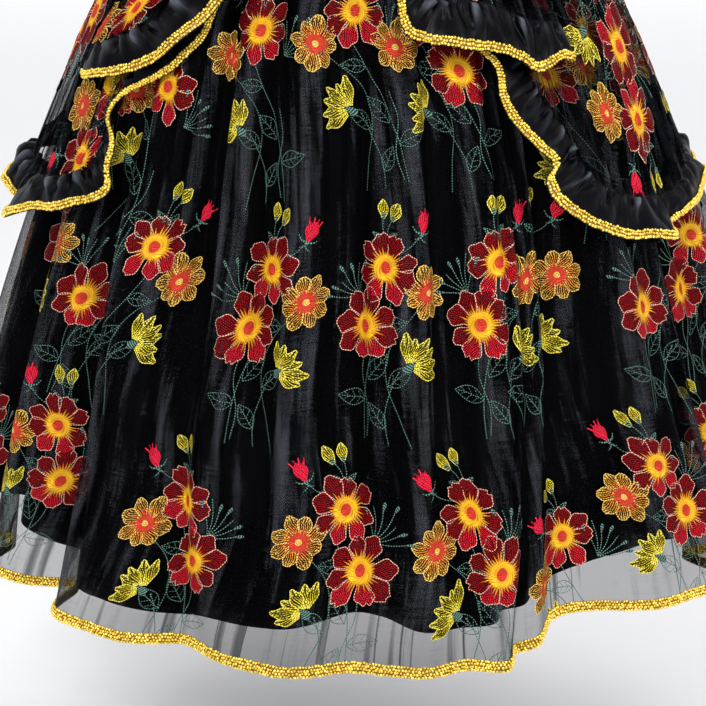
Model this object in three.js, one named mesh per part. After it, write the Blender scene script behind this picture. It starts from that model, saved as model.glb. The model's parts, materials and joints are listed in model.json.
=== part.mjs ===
// A full-length folk dance skirt as worn, with nobody in it: a black satin lining, an embroidered
// organza skirt over it, and an organza overskirt, open in front, whose gathered satin ruffle falls
// in two steps down each side. Gold beaded braid edges the hem and the ruffles.
// Millimetres, +Z up, front towards -Y. The origin is the centre of the waist, on the waistband's
// top edge, where the wearer holds the skirt up.
import * as THREE from 'three';

// ---- driving sizes -------------------------------------------------------------------------
const LENGTH = 966;                          // waistband's top edge to the lowest hem
const BAND = { depth: 36, wall: 3 };         // waistband
const WAIST = { across: 140, fore: 105 };    // half-width and half-depth of the gathered waist
const HEM = { across: 540, fore: 400 };      // the same of the bell's hem, before the folds
const SWELL = 0.65;                          // under 1: the bell opens fastest below the waist
const SPRING = 0.02;                         // softens the bell where it leaves the waistband
const CLOTH = 1.2;                           // wall of every cloth
const SEAM = 0.3;                            // gap between two pieces that are sewn together
const BRAID = { width: 11, wall: 2.6 };      // beaded braid
const LINING_INSET = 2.5;                    // the lining inside the organza at the waist
const LINING_HANG = 1.5;                     // over 1: the lining falls inwards mostly near its hem
const MIDDLE = 0.62;                         // share of the fall at which the folds' middle is given
const EVEN_GATHER = 0.2;                     // share by which the folds even out at the waist
const LAYER_OUT = { upper: 5, lower: 2.5 };  // overskirt off the skirt, where it leaves the waist

// ---- the large folds, from the wearer's centre back round by the right side to the back -----
// turn: degrees from the centre front.  reach: 1 on the bell, more on a ridge, less in a valley.
// rise: mm from the lowest hem up to the organza's hem.  midTurn, midReach: the same fold at MIDDLE.
// inner: how much further in the lining's hem lies, as a share of the bell.  liningRise: its rise.
const FOLDS = rows(['turn', 'reach', 'rise', 'midTurn', 'midReach', 'inner', 'liningRise'], [
  [-180, 1.01, 12, -180, 1.00, 0.04, 64],
  [-171, 0.91, 18, -170, 0.955, 0.05, 70],
  [-161, 1.02, 10, -160, 1.01, 0.04, 62],
  [-151, 0.90, 20, -150, 0.95, 0.06, 72],
  [-141, 1.01, 14, -140, 1.01, 0.04, 66],
  [-131, 0.88, 22, -131, 0.94, 0.06, 76],
  [-122, 1.02, 14, -121, 1.01, 0.04, 68],
  [-111, 0.90, 24, -111, 0.955, 0.05, 78],
  [-101, 1.00, 24, -101, 1.01, 0.04, 80],
  [-93, 0.88, 28, -93, 0.95, 0.06, 84],
  [-85, 1.00, 28, -84, 1.01, 0.04, 84],
  [-74, 0.83, 30, -71, 0.92, 0.05, 84],
  [-65, 0.92, 25, -59, 1.00, 0.04, 80],
  [-57, 0.89, 20, -52, 0.98, 0.04, 68],
  [-51, 0.80, 16, -46, 0.92, 0.03, 52],
  [-45.5, 0.925, 10, -41, 1.00, 0.04, 40],
  [-38, 0.945, 7, -36, 1.01, 0.03, 37],
  [-30.5, 0.95, 5, -31.5, 1.00, 0.035, 35],
  [-24, 0.90, 4, -26.5, 0.94, 0.03, 31],
  [-17.5, 0.965, 1, -22, 1.00, 0.03, 38],
  [-12.5, 1.005, 0, -15.5, 0.965, 0.03, 42],
  [-8, 1.03, 0, -7.5, 1.02, 0.04, 46],
  [-1.5, 0.985, 0, -1.5, 0.945, 0.10, 48],
  [3, 1.005, 0, 3.5, 0.985, 0.09, 48],
  [7.5, 1.03, 0, 10, 1.02, 0.025, 44],
  [12.5, 0.995, 0, 15, 0.945, 0.025, 41],
  [17, 1.02, 0, 22, 1.00, 0.04, 44],
  [19.5, 0.94, 3, 25.5, 0.975, 0.03, 46],
  [23, 0.945, 10, 28.5, 0.945, 0.035, 50],
  [28, 0.865, 22, 32.5, 0.885, 0.03, 58],
  [34.5, 0.86, 24, 38, 0.93, 0.04, 66],
  [42, 0.95, 25, 45, 0.995, 0.09, 78],
  [50.5, 0.96, 25, 52, 0.98, 0.09, 80],
  [58, 0.985, 25, 59, 1.00, 0.06, 82],
  [67, 0.80, 26, 67, 0.92, 0.04, 84],
  [78, 0.99, 26, 77, 1.00, 0.05, 84],
  [88, 0.89, 28, 87, 0.95, 0.05, 86],
  [98, 1.01, 22, 97, 1.01, 0.04, 80],
  [109, 0.88, 24, 108, 0.95, 0.06, 82],
  [119, 0.99, 16, 118, 1.01, 0.04, 72],
  [129, 0.91, 20, 129, 0.955, 0.05, 74],
  [140, 1.02, 12, 139, 1.01, 0.04, 66],
  [150, 0.89, 20, 149, 0.95, 0.06, 74],
  [160, 1.00, 12, 159, 1.01, 0.04, 66],
  [170, 0.93, 16, 170, 0.965, 0.05, 68],
]);

// ---- the overskirt, one table for each step of its ruffled edge, from the front opening on ----
// edge...: the braided edge.  seam...: where the ruffle is sewn to the organza.  edgeOut: mm that
// the edge stands off the bell.  seamOut: the same of the seam.  waist: degrees where that line of
// the cloth leaves the waistband. The last rows of each upper step turn back under it.
const STEP_COLUMNS = ['edgeTurn', 'edgeDrop', 'seamTurn', 'seamDrop', 'edgeOut', 'seamOut', 'waist'];
const STEPS = {
  upper_right: rows(STEP_COLUMNS, [
    [-5, 70, -9, 66, 22, 19, -9],
    [-9, 125, -15, 115, 30, 25, -12],
    [-16, 190, -25, 175, 38, 30, -16],
    [-28.8, 262, -38, 240, 36, 31, -21],
    [-35, 303, -44, 279, 44, 30, -26],
    [-40, 321, -49.5, 293, 38, 31, -31],
    [-47, 339, -55, 305, 43, 30, -36],
    [-56.5, 350, -60.5, 315, 38, 31, -42],
    [-61.5, 349, -63, 316, 31, 28, -45],
    [-59, 342, -60.5, 310, 25, 24, -43.5],
    [-54, 336, -55.5, 305, 24, 23, -40],
  ]),
  upper_left: rows(STEP_COLUMNS, [
    [4, 70, 8, 66, 22, 19, 8],
    [5.5, 130, 10.5, 124, 30, 25, 9.5],
    [6.8, 205, 12, 192, 36, 30, 11],
    [7.6, 272, 13.5, 236, 40, 30, 12.5],
    [11.5, 292, 15.5, 249, 36, 31, 14.5],
    [18.6, 300, 19.5, 252, 44, 30, 18],
    [24.5, 305, 25, 256, 36, 31, 22],
    [30, 317, 30, 265, 44, 30, 26],
    [33.5, 329, 34.5, 277, 38, 31, 30],
    [38.8, 319, 39.5, 280, 36, 30, 34],
    [42.8, 323, 42.8, 283, 29.5, 26, 36.5],
    [40.5, 317, 40.8, 280, 23, 21.5, 34.5],
    [36, 312, 36.5, 276, 21.5, 20.5, 31],
  ]),
  lower_right: rows(STEP_COLUMNS, [
    [-21, 70, -25, 66, 7, 6, -25],
    [-26, 175, -32, 165, 11, 10, -28],
    [-31.5, 280, -38.5, 265, 14, 13, -31],
    [-35.6, 322, -42.5, 300, 16, 15, -34],
    [-40, 338, -45, 322, 17, 16, -37],
    [-46.3, 358, -47.5, 345, 28, 18, -40],
    [-46.7, 380, -49, 370, 36, 18, -42],
    [-46, 405, -50, 396, 32, 18, -44],
    [-44, 432, -50.7, 418, 36, 18, -46],
    [-43, 455, -51.7, 436, 32, 18, -48],
    [-44.5, 471, -53.2, 448, 38, 18, -50],
    [-48.5, 483, -56, 456, 34, 19, -52.5],
    [-54.6, 492, -60, 463, 42, 18, -56],
    [-61, 501, -65, 468, 36, 19, -60],
    [-71, 521, -71.5, 473, 44, 18, -66],
    [-77, 512, -76, 474, 22, 15, -72],
    [-82, 503, -81, 468, 32, 17, -78],
    [-90, 493, -89, 456, 46, 18, -87],
    [-99, 494, -98, 450, 26, 16, -97],
    [-109, 482, -108, 442, 40, 18, -108],
    [-120, 480, -120, 434, 24, 16, -120],
    [-132, 470, -132, 430, 44, 18, -132],
    [-143, 474, -143, 427, 24, 16, -143],
    [-156, 465, -156, 424, 42, 18, -156],
    [-168, 469, -168, 422, 24, 16, -168],
    [-179.95, 464, -179.95, 421, 34, 17, -179.95],
  ]),
  lower_left: rows(STEP_COLUMNS, [
    [13, 70, 17, 66, 7, 6, 17],
    [17, 180, 22, 170, 11, 10, 20],
    [22, 285, 28, 265, 14, 13, 23],
    [25.8, 322, 31, 305, 17, 15, 26],
    [25.2, 352, 33, 336, 30, 17, 29],
    [26.2, 384, 34.5, 362, 36, 18, 31],
    [30, 410, 37, 384, 32, 18, 33],
    [32.8, 426, 38.6, 404, 36, 18, 35],
    [30.2, 444, 39.6, 424, 38, 18, 37],
    [31.6, 470, 41.2, 444, 34, 18, 39],
    [37.4, 495, 44.3, 461, 42, 18, 42],
    [42, 512, 48, 472, 36, 19, 45.5],
    [47.7, 516, 52, 479, 42, 18, 49.5],
    [54.5, 527, 57, 483, 40, 18, 54],
    [59, 517, 61, 486, 20, 15, 58],
    [63, 510, 66, 484, 24, 16, 63],
    [73, 500, 74, 474, 28, 16, 71],
    [84, 487, 83, 462, 32, 17, 81],
    [94, 484, 93, 452, 24, 16, 92],
    [105, 473, 104, 444, 40, 18, 104],
    [117, 472, 117, 435, 24, 16, 117],
    [129, 462, 129, 431, 44, 18, 129],
    [141, 468, 141, 427, 24, 16, 141],
    [154, 461, 154, 424, 44, 18, 154],
    [167, 467, 167, 422, 24, 16, 167],
    [179.95, 463, 179.95, 421, 34, 17, 179.95],
  ]),
};

// ---- how finely the solids are cut ----------------------------------------------------------
const CUTS_PER_FOLD = 2;
const RING_SHARES = [0, 0.04, 0.13, 0.32, 0.55, 0.79];   // and the braid's upper edge, and the hem
const PANEL_SHARES = [0, 0.16, 0.55, 1];                 // then the braid's upper edge, and the edge
const BAND_CUTS = 40;

// ---- colours --------------------------------------------------------------------------------
const satin = new THREE.MeshStandardMaterial({ color: 0x0c0c10, roughness: 0.42, metalness: 0 });
const organza = new THREE.MeshStandardMaterial({ color: 0x15151a, roughness: 0.55, metalness: 0 });
const goldBeads = new THREE.MeshStandardMaterial({ color: 0xd9a520, roughness: 0.35, metalness: 0.6 });

// ---- small tools ----------------------------------------------------------------------------
function rows(columns, table) {
  return table.map((row) => Object.fromEntries(columns.map((name, i) => [name, row[i]])));
}

const radians = THREE.MathUtils.degToRad;

// A smooth curve through one column of a table. Round a closed table the turn grows by `lap`.
function along(table, column, u, lap = null) {
  const last = table.length;
  const i = Math.floor(u);
  const t = u - i;
  const at = (k) => {
    if (lap === null) return table[Math.min(Math.max(k, 0), last - 1)][column];
    const laps = Math.floor(k / last);
    return table[k - laps * last][column] + laps * lap;
  };
  const [p, q, r, s] = [at(i - 1), at(i), at(i + 1), at(i + 2)];
  return q + 0.5 * t * (r - p + t * (2 * p - 5 * q + 4 * r - s + t * (3 * (q - r) + s - p)));
}

// The bell: half-width and half-depth at a drop below the waistband's top edge.
function bell(drop) {
  const share = Math.max(0, (drop - BAND.depth) / (LENGTH - BAND.depth));
  const start = SPRING ** SWELL;
  const open = ((share + SPRING) ** SWELL - start) / ((1 + SPRING) ** SWELL - start);
  return {
    across: WAIST.across + (HEM.across - WAIST.across) * open,
    fore: WAIST.fore + (HEM.fore - WAIST.fore) * open,
  };
}

function onBell(turn, drop, reach = 1, out = 0) {
  const { across, fore } = bell(drop);
  const a = radians(turn);
  return new THREE.Vector3((across * reach + out) * Math.sin(a), -(fore * reach + out) * Math.cos(a), -drop);
}

// The value at a share of the fall, given at the waist, at MIDDLE and at the hem.
function downFold(share, top, middle, hem) {
  const m = MIDDLE;
  return top * (share - m) * (share - 1) / m
    + middle * share * (share - 1) / (m * (m - 1))
    + hem * share * (share - m) / (1 - m);
}

// Where the cloths start: their walls lie just clear of the waistband's lower edge.
const CLOTH_TOP = BAND.depth + SEAM + CLOTH / 2;

// A point of the organza skirt (inner = false) or of its lining, at cloth position u.
function skirtPoint(u, share, inner) {
  const evenTurn = -180 + 360 * u / FOLDS.length;
  const midTurn = along(FOLDS, 'midTurn', u, 360);
  const topTurn = midTurn + EVEN_GATHER * (evenTurn - midTurn);
  const turn = downFold(share, topTurn, midTurn, along(FOLDS, 'turn', u, 360));
  const reach = downFold(share, 1, along(FOLDS, 'midReach', u, 0), along(FOLDS, 'reach', u, 0));
  if (!inner) {
    return onBell(turn, CLOTH_TOP + share * (LENGTH - CLOTH_TOP - along(FOLDS, 'rise', u, 0)), reach);
  }
  const drop = CLOTH_TOP + share * (LENGTH - CLOTH_TOP - along(FOLDS, 'liningRise', u, 0));
  const inwards = along(FOLDS, 'inner', u, 0) * share ** LINING_HANG;
  return onBell(turn, drop, reach - inwards, -LINING_INSET * (1 + share));
}

// ---- grids and closed bodies -----------------------------------------------------------------
// A grid is grid[ring][column] of points; closed grids join the last column to the first.
function normals(grid, closed) {
  const columns = grid[0].length;
  const pick = (k) => (closed ? (k + columns) % columns : Math.min(Math.max(k, 0), columns - 1));
  return grid.map((ring, j) => ring.map((_, i) => {
    const round = grid[j][pick(i + 1)].clone().sub(grid[j][pick(i - 1)]);
    const down = grid[Math.min(j + 1, grid.length - 1)][i].clone().sub(grid[Math.max(j - 1, 0)][i]);
    return down.cross(round).normalize();
  }));
}

// A cloth wall over part of a grid: outer face, inner face and the rim all round.
function wall(outer, inner, closed) {
  const ringCount = outer.length;
  const columns = outer[0].length;
  const points = [...outer.flat(), ...inner.flat()];
  const face = ringCount * columns;
  const id = (side, j, i) => side * face + j * columns + (i % columns);
  const triangles = [];
  const quad = (a, b, c, d) => triangles.push(a, b, c, a, c, d);
  const last = closed ? columns : columns - 1;
  for (let j = 0; j < ringCount - 1; j += 1) {
    for (let i = 0; i < last; i += 1) {
      quad(id(0, j, i), id(0, j + 1, i), id(0, j + 1, i + 1), id(0, j, i + 1));
      quad(id(1, j, i), id(1, j, i + 1), id(1, j + 1, i + 1), id(1, j + 1, i));
    }
  }
  for (let i = 0; i < last; i += 1) {
    quad(id(0, 0, i), id(0, 0, i + 1), id(1, 0, i + 1), id(1, 0, i));
    quad(id(0, ringCount - 1, i), id(1, ringCount - 1, i), id(1, ringCount - 1, i + 1), id(0, ringCount - 1, i + 1));
  }
  if (!closed) {
    for (let j = 0; j < ringCount - 1; j += 1) {
      quad(id(0, j, 0), id(1, j, 0), id(1, j + 1, 0), id(0, j + 1, 0));
      quad(id(0, j, last), id(0, j + 1, last), id(1, j + 1, last), id(1, j, last));
    }
  }
  const geometry = new THREE.BufferGeometry();
  geometry.setAttribute('position', new THREE.Float32BufferAttribute(points.flatMap((p) => p.toArray()), 3));
  geometry.setIndex(triangles);
  geometry.computeVertexNormals();
  return geometry;
}

function moved(grid, directions, distance) {
  return grid.map((ring, j) => ring.map((p, i) => p.clone().addScaledVector(directions[j][i], distance)));
}

function cloth(grid, directions) {
  return wall(moved(grid, directions, CLOTH / 2), moved(grid, directions, -CLOTH / 2), false);
}

// Pulls the first and last column of a piece back from its seams.
function easeColumns(grid) {
  const end = grid[0].length - 1;
  return grid.map((ring) => ring.map((p, i) => {
    if (i === 0) return towards(p, ring[1]);
    if (i === end) return towards(p, ring[end - 1]);
    return p;
  }));
}

function towards(from, to) {
  return from.clone().add(to.clone().sub(from).setLength(SEAM));
}

// The beaded braid, on the outer face of the last two rings of a cloth.
function braid(band, directions) {
  const near = CLOTH / 2 + SEAM;
  return wall(moved(band, directions, near + BRAID.wall), moved(band, directions, near), false);
}

// ---- the pieces ------------------------------------------------------------------------------
const skirt = new THREE.Group();

function add(name, geometry, material) {
  const mesh = new THREE.Mesh(geometry, material);
  mesh.name = name;
  skirt.add(mesh);
}

function makeWaistband() {
  const ring = (drop, out) => Array.from({ length: BAND_CUTS }, (_, i) => onBell(-180 + 360 * i / BAND_CUTS, drop, 1, out));
  add('waistband', wall([ring(0, BAND.wall / 2), ring(BAND.depth, BAND.wall / 2)],
    [ring(0, -BAND.wall / 2), ring(BAND.depth, -BAND.wall / 2)], true), satin);
}

// The skirt is cut in four gores for each cloth; the seams run down the fold rows named here.
const GORES = [
  { name: 'back_right', from: 0, to: 10 },
  { name: 'front_right', from: 10, to: 23 },
  { name: 'front_left', from: 23, to: 36 },
  { name: 'back_left', from: 36, to: FOLDS.length },
];

function skirtGrid(inner) {
  const count = FOLDS.length * CUTS_PER_FOLD;
  const shares = [...RING_SHARES, 1 - BRAID.width / (LENGTH - CLOTH_TOP), 1];
  return shares.map((share) => Array.from({ length: count }, (_, i) => skirtPoint(i / CUTS_PER_FOLD, share, inner)));
}

function gore(grid, { from, to }) {
  const count = grid[0].length;
  return grid.map((ring) => {
    const piece = [];
    for (let i = from * CUTS_PER_FOLD; i <= to * CUTS_PER_FOLD; i += 1) piece.push(ring[i % count]);
    return piece;
  });
}

function makeSkirt(layer, material, inner) {
  const grid = skirtGrid(inner);
  const directions = normals(grid, true);
  for (const cut of GORES) {
    const piece = easeColumns(gore(grid, cut));
    const facing = gore(directions, cut);
    add(`${layer}_${cut.name}`, cloth(piece, facing), material);
    if (!inner) {
      add(`hem_braid_${cut.name}`, braid(piece.slice(-2), facing.slice(-2)), goldBeads);
    }
  }
}

// One step of the overskirt: organza from the waistband to the ruffle's seam, then the ruffle.
function makeStep(name, topOut, table) {
  const count = (table.length - 1) * CUTS_PER_FOLD + 1;
  const leftHand = table.at(-1).waist > 0;
  const columns = Array.from({ length: count }, (_, i) => (leftHand ? i : count - 1 - i) / CUTS_PER_FOLD);
  const line = (u) => Object.fromEntries(STEP_COLUMNS.map((column) => [column, along(table, column, u)]));
  const panelRings = PANEL_SHARES.map((share) => columns.map((u) => {
    const l = line(u);
    return onBell(l.waist + (l.seamTurn - l.waist) * share, CLOTH_TOP + (l.seamDrop - CLOTH_TOP) * share, 1,
      topOut + (l.seamOut - topOut) * Math.sqrt(share));
  }));
  const edgeRing = columns.map((u) => {
    const l = line(u);
    return onBell(l.edgeTurn, l.edgeDrop, 1, l.edgeOut);
  });
  const seam = PANEL_SHARES.length - 1;
  const braidRing = edgeRing.map((p, i) => p.clone().add(panelRings[seam][i].clone().sub(p).setLength(BRAID.width)));
  const grid = [...panelRings, braidRing, edgeRing];
  const directions = normals(grid, false);
  const panel = grid.slice(0, seam + 1);
  panel[seam] = panel[seam].map((p, i) => towards(p, grid[seam - 1][i]));
  const ruffle = grid.slice(seam);
  ruffle[0] = ruffle[0].map((p, i) => towards(p, braidRing[i]));
  add(`${name}_panel`, cloth(panel, directions.slice(0, seam + 1)), organza);
  add(`${name}_ruffle`, cloth(ruffle, directions.slice(seam)), satin);
  add(`${name}_braid`, braid(grid.slice(-2), directions.slice(-2)), goldBeads);
}

makeWaistband();
makeSkirt('lining', satin, true);
makeSkirt('organza', organza, false);
for (const [name, table] of Object.entries(STEPS)) {
  makeStep(name, LAYER_OUT[name.split('_')[0]], table);
}

export default skirt;
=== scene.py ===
"""A full-length folk dance skirt as worn, with nobody in it.

A black satin lining hangs under a sheer black organza skirt that is embroidered with flowers.
An organza overskirt, open in front, ends in a gathered satin ruffle that falls in two steps down
each side. Beaded gold braid edges the hem and the ruffles.

The tables are in millimetres and degrees, the meshes in metres. +Z is up, the front looks to -Y
and +X is the wearer's left. The origin is the centre of the waist, on the waistband's top edge.
"""
import json
import math
import random

import bpy
import numpy as np
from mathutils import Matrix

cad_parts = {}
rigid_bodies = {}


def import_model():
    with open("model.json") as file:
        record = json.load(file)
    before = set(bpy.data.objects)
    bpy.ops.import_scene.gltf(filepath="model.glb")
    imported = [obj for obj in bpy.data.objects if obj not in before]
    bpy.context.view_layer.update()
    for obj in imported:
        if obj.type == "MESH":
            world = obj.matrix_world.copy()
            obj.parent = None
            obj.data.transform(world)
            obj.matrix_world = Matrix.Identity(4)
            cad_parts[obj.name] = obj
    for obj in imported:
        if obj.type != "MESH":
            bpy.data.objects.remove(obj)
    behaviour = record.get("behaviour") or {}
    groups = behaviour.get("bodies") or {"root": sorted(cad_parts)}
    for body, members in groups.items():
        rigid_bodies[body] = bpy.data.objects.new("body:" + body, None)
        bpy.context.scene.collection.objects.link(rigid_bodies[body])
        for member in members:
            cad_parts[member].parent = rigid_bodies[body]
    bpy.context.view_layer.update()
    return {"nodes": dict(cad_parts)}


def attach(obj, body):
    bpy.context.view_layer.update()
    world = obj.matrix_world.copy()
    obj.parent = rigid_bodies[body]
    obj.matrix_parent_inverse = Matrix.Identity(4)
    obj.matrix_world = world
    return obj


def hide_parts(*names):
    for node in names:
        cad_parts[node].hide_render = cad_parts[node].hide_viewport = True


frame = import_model()

MM = 0.001

# ---- the skirt's sizes, as the solids have them ----------------------------------------------
LENGTH = 966
BAND_DEPTH = 36
BRAID_WIDTH = 11
GORES = ("back_right", "front_right", "front_left", "back_left")

# The bell: half-widths at the waist and the hem, the power of the fall by which it widens, and
# the small share of the fall that softens its start.
WAIST_ACROSS, WAIST_FORE = 140, 105
HEM_ACROSS, HEM_FORE = 540, 400
SWELL = 0.65
SPRING = 0.02

# Where the cloth starts, how far the lining lies inside it and by what power it draws in, the
# share of the fall at which the folds' middle columns hold, how much the folds even out at the
# waist, and how far off the bell each step of the overskirt starts.
CLOTH_TOP = 36.9
LINING_INSET = 2.5
LINING_HANG = 1.5
MIDDLE = 0.62
EVEN_GATHER = 0.2
OVERSKIRT_OUT = {"upper": 5, "lower": 2.5}

# ---- finer than the solids -------------------------------------------------------------------
# Walls; how far a ruffle's top is turned in behind its panel; how near two points are one; and
# how far gathers, pleats, a ruffle's belly, creases and embroidery stand out.
ORGANZA_THICKNESS = 0.5
SATIN_THICKNESS = 0.8
ALLOWANCE_IN = 1.2
JOIN_GAP = 0.02
GATHER_DEPTH = 2.4
PLEAT_DEPTH, LOW_PLEAT_DEPTH = 1.6, 1.0
RUFFLE_BULGE = 4.0
CREASE_DEPTH = 3.2
EMBROIDERY_LIFT = 0.7

# Braid: its width and rows of beads. Beads: mm from one to the next and in from the edges, how
# far one strays across, in mm, and along, as a share of the pitch, its length and width as
# shares of the spacing, and the range of its size. Out of the cloth: beads at the braid's edges,
# and how much more along its middle; then the tape's edges and its middle.
HEM_BRAID = (BRAID_WIDTH + 2.0, 4)
RUFFLE_BRAID = (BRAID_WIDTH - 1.6, 3)
BEAD_PITCH, BEAD_INSET = 3.5, 1.5
STRAY_ACROSS, STRAY_ALONG = 0.75, 0.16
BEAD_LONG, BEAD_WIDE = 1.06, 1.20
BEAD_UNEVEN = (0.88, 1.08)
BEAD_OUT, BEAD_CROWN = 1.6, 1.3
TAPE_STEP, TAPE_INSET = 6.0, 0.8
TAPE_EDGE_OUT, TAPE_MIDDLE_OUT = 0.5, 1.9

# Mm between cloths on the cutting table, and mm of drop that weigh as much as a degree of turn.
TABLE_GAP = 500
MM_A_DEGREE = 6

# How finely each cloth is cut up: rings down it, and columns to a fold or to a table's row.
SKIRT_CUTS, SKIRT_RINGS, LINING_RINGS = 12, 62, 50
RUFFLE_CUTS = 16
PANEL_RINGS = np.concatenate([[0, 0.02], np.linspace(0.05, 1, 26)])
RUFFLE_RINGS = np.linspace(0, 1, 15)

# On the ridges this finds, the satin has a painted highlight and the organza a painted sheen.
# What tells a ridge from a valley: columns to each side to look over, and the height in mm.
BROAD_FOLDS = (9, 16.0)
FRILL_FOLDS = (5, 9.0)

# The large folds from the centre back round by the wearer's right: turn in degrees from the
# front, reach as a share of the bell, rise of the hem, turn and reach at the fall's middle, how
# far in the lining's hem lies as a share of the bell, and how far up.
FOLD_COLUMNS = ("turn", "reach", "rise", "mid_turn", "mid_reach", "inner", "lining_rise")
FOLDS = [
    (-180, 1.01, 12, -180, 1.00, 0.04, 64),
    (-171, 0.91, 18, -170, 0.955, 0.05, 70),
    (-161, 1.02, 10, -160, 1.01, 0.04, 62),
    (-151, 0.90, 20, -150, 0.95, 0.06, 72),
    (-141, 1.01, 14, -140, 1.01, 0.04, 66),
    (-131, 0.88, 22, -131, 0.94, 0.06, 76),
    (-122, 1.02, 14, -121, 1.01, 0.04, 68),
    (-111, 0.90, 24, -111, 0.955, 0.05, 78),
    (-101, 1.00, 24, -101, 1.01, 0.04, 80),
    (-93, 0.88, 28, -93, 0.95, 0.06, 84),
    (-85, 1.00, 28, -84, 1.01, 0.04, 84),
    (-74, 0.83, 30, -71, 0.92, 0.05, 84),
    (-65, 0.92, 25, -59, 1.00, 0.04, 80),
    (-57, 0.89, 20, -52, 0.98, 0.04, 68),
    (-51, 0.80, 16, -46, 0.92, 0.03, 52),
    (-45.5, 0.925, 10, -41, 1.00, 0.04, 40),
    (-38, 0.945, 7, -36, 1.01, 0.03, 37),
    (-30.5, 0.95, 5, -31.5, 1.00, 0.035, 35),
    (-24, 0.90, 4, -26.5, 0.94, 0.03, 31),
    (-17.5, 0.965, 1, -22, 1.00, 0.03, 38),
    (-12.5, 1.005, 0, -15.5, 0.965, 0.03, 42),
    (-8, 1.03, 0, -7.5, 1.02, 0.04, 46),
    (-1.5, 0.985, 0, -1.5, 0.945, 0.10, 48),
    (3, 1.005, 0, 3.5, 0.985, 0.09, 48),
    (7.5, 1.03, 0, 10, 1.02, 0.025, 44),
    (12.5, 0.995, 0, 15, 0.945, 0.025, 41),
    (17, 1.02, 0, 22, 1.00, 0.04, 44),
    (19.5, 0.94, 3, 25.5, 0.975, 0.03, 46),
    (23, 0.945, 10, 28.5, 0.945, 0.035, 50),
    (28, 0.865, 22, 32.5, 0.885, 0.03, 58),
    (34.5, 0.86, 24, 38, 0.93, 0.04, 66),
    (42, 0.95, 25, 45, 0.995, 0.09, 78),
    (50.5, 0.96, 25, 52, 0.98, 0.09, 80),
    (58, 0.985, 25, 59, 1.00, 0.06, 82),
    (67, 0.80, 26, 67, 0.92, 0.04, 84),
    (78, 0.99, 26, 77, 1.00, 0.05, 84),
    (88, 0.89, 28, 87, 0.95, 0.05, 86),
    (98, 1.01, 22, 97, 1.01, 0.04, 80),
    (109, 0.88, 24, 108, 0.95, 0.06, 82),
    (119, 0.99, 16, 118, 1.01, 0.04, 72),
    (129, 0.91, 20, 129, 0.955, 0.05, 74),
    (140, 1.02, 12, 139, 1.01, 0.04, 66),
    (150, 0.89, 20, 149, 0.95, 0.06, 74),
    (160, 1.00, 12, 159, 1.01, 0.04, 66),
    (170, 0.93, 16, 170, 0.965, 0.05, 68),
]

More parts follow.
